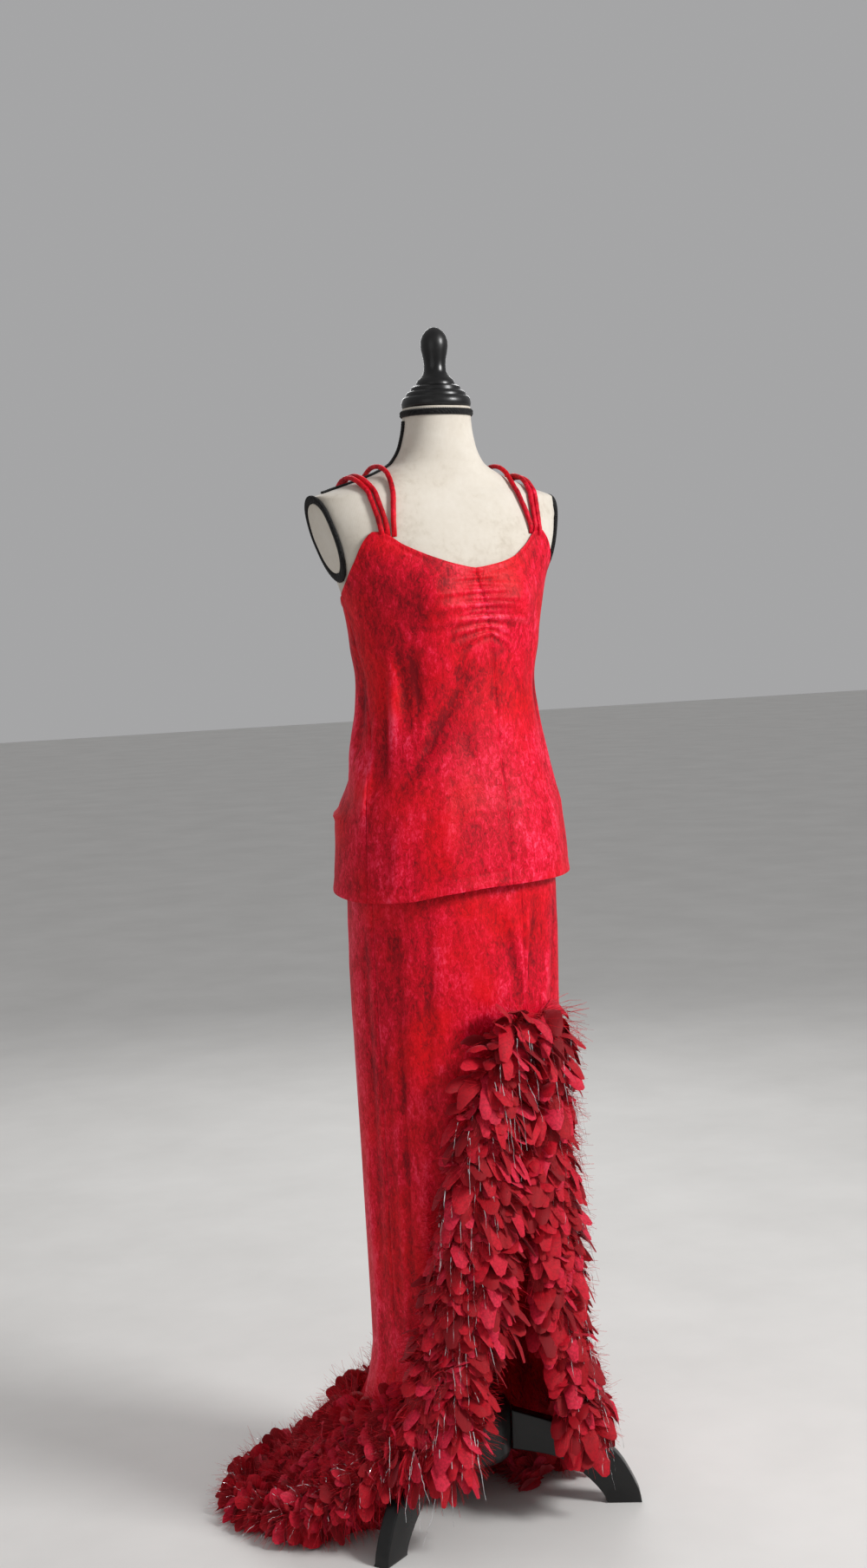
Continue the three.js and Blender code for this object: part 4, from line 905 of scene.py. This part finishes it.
def top_panel(from_seam, to_seam, columns, rows):
    across = panel_columns(columns)[None, :]
    up = np.concatenate([[0, 0.003, 0.007, 0.012], np.linspace(0.02, 0.985, rows), [0.99, 0.995, 1]])[:, None]
    level = mix(TOP_SEAMS[0][0], TOP_SEAMS[-1][0], up)
    gap = 0.1
    turn = mix(from_seam(level) + gap, to_seam(level) - gap, across)
    edge = curve(TOP_EDGE, 1, wrap_turn(turn))
    low = curve(TOP_HEM, 1, wrap_turn(turn))
    z = mix(low, edge, up)
    # The turned edges are a little fuller than the cloth beside them, with a soft line of stitches.
    from_hem, from_edge = z - low, edge - z
    full = 0.9 * bell((from_hem - 4) / 5) - 0.5 * bell((from_hem - 20) / 2.5)
    full = full + 0.7 * bell((from_edge - 3) / 3.2) - 0.6 * bell((from_edge - 8) / 2)
    wave = 1.1 * np.sin(turn / 7.0) * np.sin(turn / 17.0 + 0.8) * bell(from_hem / 60)
    gathers = gather_rise(turn, z) * smoothstep(from_edge, 0, 9)
    creases = fold_rise(TOP_CREASES, turn, z, CREASE_END)
    # The gathers stand out from the form, as the cloth between them lies on it.
    proud = np.maximum(gathers, -0.8)
    points = point_at(turn, top_radius(turn, z) + full + wave + proud, z)
    # The second value paints shade into the troughs of the gathers, creases and folds, and highlight onto
    # their ridges and the fuller turned edges, with shade along their stitch lines.
    return points, gathers + creases + 0.35 * fold_rise(TOP_FOLDS, turn, z) + 0.6 * full


def make_top():
    def seam(column, further=0):
        return lambda z: curve(TOP_SEAMS, column, z) + further

    right, middle, left, right_again = seam(1), seam(2), seam(3), seam(1, 360)
    # Panels: node, the seams at their sides, columns, rows, flat size, flat area and how they are held.
    panels = [
        ("top_front_right", right, middle, 56, 190, (0.27, 0.51), 0.106, "gathered"),
        ("top_front_left", middle, left, 54, 190, (0.26, 0.51), 0.098, "gathered"),
        ("top_back", left, right_again, 96, 110, (0.47, 0.43), 0.186, "hung"),
    ]
    for node, from_seam, to_seam, columns, rows, flat, area, held in panels:
        grid = top_panel(from_seam, to_seam, columns, rows)
        make_panel(node, grid)


def make_straps():
    count, rings, sides = 260, 110, 10
    # A strap goes under the top's edge by this much, and is round from this far above it.
    tucked, round_from = 7, 5
    swing = np.linspace(-10, 244, count)
    angle = np.radians(swing)
    ways = np.stack([0 * angle, -np.cos(angle), np.sin(angle)], -1)
    for name, side in (("right", -1), ("left", 1)):
        for number, front, crest, back in STRAPS:
            x = side * mix(mix(front, crest, smoothstep(swing, 0, 80)), back, smoothstep(swing, 100, 175))
            start = np.stack([x, np.full(count, 14.0), np.full(count, 1400.0)], -1)
            skin = form_surface(start, ways)
            outs = form_out(skin)
            over_braid = (BRAID_DEPTH + 2.2) * bell((swing - 88) / 26)
            above = skin[:, 2] - curve(TOP_EDGE, 1, np.degrees(np.arctan2(skin[:, 0], -skin[:, 1])))
            # Each end flattens and goes under the top's edge.
            free = smoothstep(above, -tucked, round_from)
            path = skin + outs * (mix(0.9, STRAP_RADIUS + 0.5, free) + over_braid)[:, None]
            kept = above > -tucked
            even = smooth_path(np.hstack([path, outs, free[:, None]])[kept], rings)
            path, outs, free = even[:, :3], unit(even[:, 3:6]), np.clip(even[:, 6:], 0, 1)
            turned = np.linspace(0, 2 * np.pi, sides, endpoint=False)
            run = np.linspace(0, 1, rings)[:, None]
            seed = side * int(number) * 1.7
            fine = 0.22 * np.sin(run * 150 + 2 * np.sin(turned + seed)) * np.sin(run * 47 + seed)
            flatter = 1 - 0.12 * np.sin(turned) ** 2
            radius = (STRAP_RADIUS + fine + 0.15 * np.sin(run * 23 + seed)) * flatter
            deep = mix(0.14, 1, free)
            section = np.stack([radius * np.cos(turned), deep * radius * np.sin(turned)], -1)
            outer, inner = sweep(path, outs, section), sweep(path, outs, section * 0.8)
            points = np.concatenate([outer.reshape(-1, 3), inner.reshape(-1, 3)])
            faces = shell_faces(rings, sides, wrap_columns=True)
            strap = make_piece(f"strap_tube_{name}_{number}", f"strap_{name}_{number}", points, faces,
                               velvet, "velvet")
            length = float(steps_of(path).sum()) * MM


def slit_edge(column, z):
    return curve(SLIT, column, np.minimum(z, SLIT_TOP))


def skirt_radius(turn, z):
    skin = skin_radius(turn, np.maximum(z, FORM_BOTTOM), CLING + 0.6)
    hang = table_radius(SKIRT_HANG, turn, z)
    meet = np.maximum(skin, mix(skin, hang, smoothstep(SKIRT_HANG[0][0] - z, 0, 45)))
    free = hang + fold_rise(SKIRT_FOLDS, turn, z) + fold_rise(SKIRT_CREASES, turn, z, CREASE_END)
    return np.where(z > SKIRT_HANG[0][0], skin, np.where(z > SKIRT_HANG[1][0], meet, free))


def skirt_point(turn, level):
    """The skirt's outer points. Below the flare's top a level counts along the cloth."""
    turn, level = np.broadcast_arrays(np.asarray(turn, float), np.asarray(level, float))
    upper = skirt_radius(turn, np.maximum(level, FLARE_TOP))
    way = np.clip(1 - level / FLARE_TOP, 0, 1)
    start = skirt_radius(turn, np.full_like(turn, FLARE_TOP))
    around = wrap_turn(turn)
    reach, bottom = curve(HEM, 1, around), curve(HEM, 2, around)
    knee_radius = mix(start, reach, curve(HEM, 3, around))
    knee_z = mix(bottom, FLARE_TOP, curve(HEM, 4, around))
    rest = 1 - way
    radius = rest**2 * start + 2 * rest * way * knee_radius + way**2 * reach
    z = rest**2 * FLARE_TOP + 2 * rest * way * knee_z + way**2 * bottom
    flare = np.full_like(turn, FLARE_TOP)
    folds = fold_rise(SKIRT_FOLDS, turn, flare) + fold_rise(SKIRT_CREASES, turn, flare, CREASE_END)
    ripple = 1.4 * folds * np.sin(np.pi * way)
    above = level >= FLARE_TOP
    return point_at(turn, np.where(above, upper, radius + ripple), np.where(above, level, z))


def skirt_panel(from_seam, to_seam, columns):
    top, hips = WAIST_HEIGHT - BAND_HEIGHT / 2 - 0.3, SKIRT_HANG[0][0]
    flare = np.linspace(0, FLARE_TOP, 56, endpoint=False)
    straight = np.linspace(FLARE_TOP, hips, 112, endpoint=False)
    level = np.concatenate([flare, straight, np.linspace(hips, top, 24)])[:, None]
    across = panel_columns(columns)[None, :]
    gap = 0.08
    turn = mix(from_seam(level) + gap, to_seam(level) - gap, across)
    height = np.maximum(level, 120) + 0 * turn
    creases = fold_rise(SKIRT_CREASES, turn, height, CREASE_END)
    # The second value paints shade into the troughs of the creases and folds and highlight onto their ridges.
    return skirt_point(turn, level), creases + 0.4 * fold_rise(SKIRT_FOLDS, turn, height)


def make_skirt():
    def slit(column):
        return lambda level: slit_edge(column, np.maximum(level, SLIT[0][0]))

    def seam(turn):
        return lambda level: 0 * level + turn

    left, right, right_again = seam(SKIRT_SEAM_LEFT), seam(SKIRT_SEAM_RIGHT), seam(SKIRT_SEAM_RIGHT + 360)
    # Panels: node, the edges at their sides, columns, flat size and flat area.
    panels = [
        ("skirt_front", right, slit(1), 50, (0.27, 1.08), 0.175),
        ("skirt_side_front", slit(2), left, 36, (0.18, 1.12), 0.166),
        ("skirt_back", left, right_again, 86, (0.95, 1.24), 0.60),
    ]
    for node, from_edge, to_edge, columns, flat, area in panels:
        make_panel(node, skirt_panel(from_edge, to_edge, columns))


def make_waistband():
    half, clear = BAND_HEIGHT / 2, 3.4
    turn = np.linspace(0, 360, 180, endpoint=False)[None, :]
    z = np.linspace(WAIST_HEIGHT - half + 0.2, WAIST_HEIGHT + half, 9)[:, None]
    gathers = 0.3 * np.sin(np.radians(turn * 31)) * bell((z - WAIST_HEIGHT) / 9)
    radius = form_radius(turn, WAIST_HEIGHT - half) + clear + gathers
    both, faces = shell(point_at(turn, radius, z), CLOTH, wrap_columns=True)
    band = make_piece("waistband_cloth", "skirt_waistband", both, faces, velvet, "velvet", 60)


# The boa

def off_floor(points):
    """Lays what would go through the floor on it instead."""
    soft = 14.0
    z = points[..., 2]
    laid = FLOOR_GAP + (soft - FLOOR_GAP) * np.exp((z - soft) / (soft - FLOOR_GAP))
    points[..., 2] = np.where(z < soft, laid, z)
    return points


SOLID_LOW, SOLID_HIGH = ((np.array(corner) - POLE) / MM for corner in cad_box)
# How far the softest tips may stand out past the solids' box.
SPARE = 18.0


def within_reach(points):
    """Bends back what would stand out too far past the solids' box."""
    for axis in (0, 1):
        for limit, way in ((SOLID_LOW[axis], -1), (SOLID_HIGH[axis], 1)):
            over = (points[..., axis] - limit) * way
            eased = SPARE * (1 - np.exp(-np.maximum(over, 0) / SPARE))
            points[..., axis] = np.where(over > 0, limit + way * eased, points[..., axis])
    return points


# A vane's outline: place along it and breadth there, as shares of its length and width.
VANE_SHAPE = [
    (0, 0.06), (0.14, 0.30), (0.29, 0.66), (0.43, 0.92), (0.57, 1.0), (0.71, 0.96), (0.86, 0.80), (1, 0.40),
]
# Places across a vane, from one edge to the other.
VANE_SIDES = np.array([-1, -0.55, 0, 0.55, 1.0])


def many_grids(count, rows, columns):
    """Quads of many grids of points, one grid after another."""
    starts = np.arange(count) * rows * columns
    return (np.array(grid_faces(rows, columns)) + starts[:, None, None]).reshape(-1, 4)


def square_to(tangents, wides):
    """Each feather's wide way, turned square to its tangents."""
    wides = wides[:, None]
    return unit(wides - tangents * np.sum(wides * tangents, -1, keepdims=True))


def feather_blades(random, roots, ways, wides, length, width, bend, tone, rows):
    """Curved vanes with a raised middle. Gives points, quads and each point's place on its vane."""
    count, across = len(roots), len(VANE_SIDES)
    along = np.linspace(0, 1, rows)
    s = along[None, :, None]
    reach = length[:, None, None] * s
    middle = roots[:, None] + ways[:, None] * reach * (1 - 0.3 * s) + DOWN * (bend[:, None, None] * s**2)
    tangent = unit(np.gradient(middle, axis=1))
    wide = square_to(tangent, wides)
    face = np.cross(tangent, wide)[:, :, None]
    shape = np.interp(along, *zip(*VANE_SHAPE))
    ragged = 1 + 0.34 * (random.random((count, rows, across)) - 0.5) * np.abs(VANE_SIDES)
    half = (width[:, None] / 2 * shape[None])[:, :, None] * VANE_SIDES * ragged
    broad = np.abs(half)
    cup = 0.22 * broad * np.abs(VANE_SIDES) + 0.35 * broad * (random.random((count, 1, 1)) - 0.5)
    curl = 15.0 * (random.random((count, 1, 1)) - 0.45) * s**3
    points = middle[:, :, None] + wide[:, :, None] * half[..., None] + face * (cup + curl)[..., None]
    points = points - tangent[:, :, None] * (0.35 * broad * s)[..., None]
    twist = 0.5 * (random.random((count, 1, 1)) - 0.5) * s**2
    points = points + face * (twist * half)[..., None]
    place = np.zeros((count, rows, across, 3))
    place[..., 0] = VANE_SIDES
    place[..., 1] = s
    place[..., 2] = np.clip(tone[:, None, None] + 0.12 * (s - 0.5), 0, 1)
    return points.reshape(-1, 3), many_grids(count, rows, across), place.reshape(-1, 3)


def strands(random, roots, ways, wides, length, width, bend, kink, rows):
    """Narrow ribbons, for down and tinsel."""
    count = len(roots)
    s = np.linspace(0, 1, rows)[None, :, None]
    middle = roots[:, None] + ways[:, None] * (length[:, None, None] * s)
    middle = middle + DOWN * (bend[:, None, None] * s**2)
    shake = (random.random((count, rows, 3)) - 0.5) * kink
    shake[:, 0] = 0
    middle = middle + np.cumsum(shake, axis=1)
    tangent = unit(np.gradient(middle, axis=1))
    spin = (random.random((count, rows)) - 0.5) * 2.6
    side = square_to(tangent, wides)
    other = np.cross(tangent, side)
    side = side * np.cos(spin)[..., None] + other * np.sin(spin)[..., None]
    half = side * (width / 2 * (1 - 0.6 * s))
    points = np.stack([middle - half, middle + half], axis=2)
    return points.reshape(-1, 3), many_grids(count, rows, 2)


# Points of a path along one stretch of the hem.
HEM_POINTS = 24


def slit_path(side):
    """The cord down one edge of the slit and on to the hem."""
    column = 1 if side < 0 else 2
    level = np.array([738, 716, 690, 660, 625, 585, 540, 490, 440, 390, 340, 290, 240, 200], float)
    turn = slit_edge(column, level) + side * 9 * smoothstep(level, 640, level[0])
    hanging = point_at(turn, 140, level)
    on_cloth = skirt_point(turn, np.maximum(level, FLARE_TOP))
    skin = np.where(level[:, None] < FLARE_TOP, hanging, on_cloth)
    path = skin + outward(skin) * (BOA_CORE + 0.3)
    turns = np.array([(37, 158), (42, 136), (52, 142), (63, 142)], float)
    foot_turn = side * turns[:, 0]
    foot = point_at(foot_turn, curve(HEM, 1, foot_turn) + BOA_CORE, turns[:, 1])
    return np.vstack([path, foot])


def hem_path(start, end):
    turn = np.linspace(start, end, HEM_POINTS)
    around = wrap_turn(turn)
    return point_at(turn, curve(HEM, 1, around) + 0.35 * BOA_CORE, curve(HEM, 2, around) + 1.1 * BOA_CORE)


def upper_path(start, end, level):
    """A line on the cloth a little way up from the hem."""
    skin = skirt_point(np.linspace(start, end, HEM_POINTS), level)
    return skin + outward(skin, 150) * 6


def floor_path(start, end):
    """A line on the floor inside the hem, where the hem lies low enough for feathers to reach it."""
    turn = np.linspace(start, end, HEM_POINTS)
    around = wrap_turn(turn)
    low = curve(HEM, 2, around) < 62
    return point_at(turn, curve(HEM, 1, around) - 46, 10)[low]


# Each stretch of boa: its node, its side of the slit or the turns where it starts and ends on the hem,
# feathers for each millimetre of cord, and a seed.
BOAS = [
    ("boa_slit_right", -1, 1.2, 11),
    ("boa_slit_left", 1, 1.2, 23),
    ("boa_hem_right", (-62.4, -100), 1.0, 37),
    ("boa_train_right", (-100.4, -140), 0.9, 43),
    ("boa_train_back", (-140.4, -190), 0.9, 57),
    ("boa_train_left", (169.6, 118), 0.9, 62),
    ("boa_hem_left", (117.6, 62.4), 1.0, 71),
]
# Each feather is turned this much further round the cord than the one before it.
GOLDEN_TURN = 137.5


def around_cord(random, path, outs, count, spread, lean):
    """Places on a cord and ways out of it, all round its outer side."""
    last = 399
    even = smooth_path(np.hstack([path, outs]), last + 1)
    place = (np.arange(count) + random.random(count)) / count
    index = np.clip((place * last).astype(int), 0, last)
    root, out = even[index, :3], unit(even[index, 3:])
    along = unit(np.gradient(even[:, :3], axis=0))[index]
    across = unit(np.cross(along, out))
    out = unit(np.cross(across, along))
    spiral = (np.arange(count) * GOLDEN_TURN) % (2 * spread) - spread
    swing = np.radians(spiral + 14 * (random.random(count) - 0.5))
    way = out * np.cos(swing)[:, None] + across * np.sin(swing)[:, None]
    way = unit(way + along * (lean * (random.random(count) - 0.5))[:, None])
    return root, way, along


def hem_rows(start, end):
    """Rows of feathers along the hem: cord, ways out, share of feathers, spread, length, droop, lean."""
    path = hem_path(start, end)
    rows = [(path, outward(path, 150), 0.9, 150, 64, 22, 1.6)]
    for level, share in ((60, 0.7), (112, 0.6), (160, 0.45)):
        upper = upper_path(start, end, level)
        rows.append((upper, outward(upper, 60), share, 80, 62, 30, 1.3))
    inside = floor_path(start, end)
    if len(inside) > 3:
        share = 0.8 * len(inside) / HEM_POINTS
        rows.append((inside, unit(inside * [-1, -1, 0] + [0, 0, 60]), share, 85, 66, 16, 1.5))
    return rows


def slit_rows(side):
    """Rows of feathers down one edge of the slit, in the same columns as the hem's."""
    path = slit_path(side)
    z = path[:, 2]
    radial = outward(path)
    toward_gap = np.cross(radial, [0, 0, 1.0]) * side
    rows = [(path, radial, 0.62, 98, 74, 42, 0.9)]
    # The boa is fullest beside the gap, down to where the two stretches part.
    fullest = (z > 270) & (z < 640)
    shift = 30 * smoothstep(z, 640, 480) * smoothstep(z, 240, 330)
    inner = path + toward_gap * shift[:, None] - radial * 4
    rows.append((inner[fullest], radial[fullest], 0.36, 80, 66, 44, 0.9))
    if side < 0:
        # The right stretch grows broader away from the gap as it comes down to the hem.
        low = z < 500
        outer = path - toward_gap * (46 * smoothstep(z, 500, 180))[:, None] - radial * 7
        rows.append((outer[low], radial[low], 0.42, 85, 66, 40, 1.2))
    return rows


# On the hem and beside the slit: rows of points in a vane, strands of down for each feather, tinsel for
# each millimetre of cord, where tinsel starts as a share of the boa's reach, and its length.
BOA_KINDS = {
    "hem": {"vane_rows": 6, "down": 7, "tinsel": 0.16, "tinsel_start": 0.5, "tinsel_length": (18, 36)},
    "slit": {"vane_rows": 8, "down": 9, "tinsel": 0.12, "tinsel_start": 0.8, "tinsel_length": (40, 90)},
}
# A boa's materials, and their places on its mesh.
BOA_MATERIALS = (feather, down, tinsel)
FEATHER_PLACE, DOWN_PLACE, TINSEL_PLACE = range(3)


def make_boa(node, place, density, seed):
    random = np.random.default_rng(seed)
    hem = "slit" not in node
    made = BOA_KINDS["hem" if hem else "slit"]
    rows = hem_rows(*place) if hem else slit_rows(place)
    path, outs = rows[0][:2]
    length = steps_of(path).sum()
    points, faces, marks, materials = [], [], [], []

    def add(new_points, new_faces, material, mark=None):
        faces.append(new_faces + sum(len(group) for group in points))
        points.append(within_reach(off_floor(new_points)))
        marks.append(np.zeros_like(new_points) if mark is None else mark)
        materials.append(np.full(len(new_faces), material))

    for cord, ways_out, share, spread, reach, droop, lean in rows:
        count = int(length * density * share)
        root, way, along = around_cord(random, cord, ways_out, count, spread, lean)
        level = 1 - np.abs(way[:, 2])
        size = reach * (0.62 + 0.62 * random.random(count))
        drape = droop * (0.5 + random.random(count)) * (0.3 + 0.7 * level)
        if not hem:
            # The feathers that face the other edge of the slit are long enough to close it.
            inward = np.clip(-way[:, 0] * place, 0, 1)
            size = size * (1 + 0.4 * inward * smoothstep(root[:, 2], 230, 330))
            # At the wearer's right the boa is broad at its top.
            rightward = np.clip(-way[:, 0], 0, 1) * (place < 0)
            size = size * (1 + 0.4 * rightward * smoothstep(root[:, 2], 560, 700))
        width = 19 + 15 * random.random(count)
        wide = unit(np.cross(along, way) + along * (1.5 * (random.random(count) - 0.5))[:, None])
        tone = random.random(count) ** 1.2
        blades, quads, mark = feather_blades(random, root, way, wide, size, width, drape, tone,
                                             made["vane_rows"])
        add(blades, quads, FEATHER_PLACE, mark)
        count = count * made["down"]
        root, way, along = around_cord(random, cord, ways_out, count, min(spread + 12, 150), 1.4)
        size = 28 + 42 * random.random(count)
        droop_down = 24 * random.random(count)
        add(*strands(random, root, way, along, size, 0.8, droop_down, 3.6, 4), DOWN_PLACE)

    count = int(length * made["tinsel"])
    root, way, along = around_cord(random, path, outs, count, 60, 0.8)
    from_cord = made["tinsel_start"] + 0.2 * random.random(count)
    start = root + way * (BOA_REACH * from_cord)[:, None]
    sideways = along * (random.random(count) - 0.5)[:, None]
    hang = unit(way + sideways - [0, 0, 0.3]) if hem else unit(way * 0.2 + sideways * 0.6 - [0, 0, 0.95])
    shortest, longest = made["tinsel_length"]
    size = shortest + (longest - shortest) * random.random(count)
    droop = 3 + 6 * random.random(count)
    add(*strands(random, start, hang, along, size, 1.1, droop, 2.6, 12), TINSEL_PLACE)

    piece = make_piece(node + "_feathers", node, np.concatenate(points), np.concatenate(faces).tolist(),
                       BOA_MATERIALS[0], "feather")
    for material in BOA_MATERIALS[1:]:
        piece.data.materials.append(material)
    piece.data.polygons.foreach_set("material_index", np.concatenate(materials).astype(np.int32))
    vane = piece.data.attributes.new("vane", "FLOAT_VECTOR", "POINT")
    vane.data.foreach_set("vector", np.concatenate(marks).astype(np.float32).ravel())


make_form()
make_arm_flats()
make_braids()
make_neck_cap()
make_stand()
make_waistband()
make_top()
make_straps()
make_skirt()
for boa in BOAS:
    make_boa(*boa)


# The camera, the floor and the lights

def make_camera():
    azimuth, distance, height = -28.0, 3.05, 1.305
    pitch, yaw, roll = 4.7, 0.415, -2.0
    way = math.radians(azimuth)
    to_camera = Vector((math.sin(way), -math.cos(way), 0))
    place = Vector(POLE) + to_camera * distance + Vector((0, 0, height))
    forward = Matrix.Rotation(math.radians(yaw), 3, "Z") @ -to_camera
    forward = forward * math.cos(math.radians(pitch)) - Vector((0, 0, math.sin(math.radians(pitch))))
    turned = forward.to_track_quat("-Z", "Y").to_matrix().to_4x4()
    data = bpy.data.cameras.new("camera")
    data.sensor_fit = "VERTICAL"
    data.sensor_height = 36
    data.lens = 49.46
    camera = bpy.data.objects.new("camera", data)
    camera.matrix_world = Matrix.Translation(place) @ turned @ Matrix.Rotation(math.radians(roll), 4, "Z")
    bpy.context.scene.collection.objects.link(camera)
    bpy.context.scene.camera = camera


def make_light(name, place, target, size, power):
    data = bpy.data.lights.new(name, "AREA")
    data.shape = "DISK"
    data.size = size
    data.energy = power
    light = bpy.data.objects.new(name, data)
    turned = (Vector(target) - Vector(place)).to_track_quat("-Z", "Y").to_matrix().to_4x4()
    light.matrix_world = Matrix.Translation(Vector(place) + Vector(POLE)) @ turned
    bpy.context.scene.collection.objects.link(light)


def make_studio():
    mesh = bpy.data.meshes.new("studio_floor")
    far = 20
    corners = [(-far, -far, 0), (far, -far, 0), (far, far, 0), (-far, far, 0)]
    mesh.from_pydata(corners, [], [(0, 1, 2, 3)])
    mesh.materials.append(floor_look())
    floor = bpy.data.objects.new("studio_floor", mesh)
    bpy.context.scene.collection.objects.link(floor)
    middle = (0, 0, 1.0)
    make_light("key", (1.5, -2.3, 2.6), middle, 1.0, 92)
    make_light("fill", (-2.6, -1.8, 1.8), middle, 2.2, 7)
    make_light("back", (1.2, 2.6, 2.4), middle, 1.8, 30)
    world = bpy.data.worlds.new("studio")
    world.use_nodes = True
    background = world.node_tree.nodes["Background"].inputs
    background["Color"].default_value = (0.82, 0.82, 0.83, 1)
    background["Strength"].default_value = 0.46
    bpy.context.scene.world = world
    bpy.context.scene.view_settings.view_transform = "Standard"


make_camera()
make_studio()
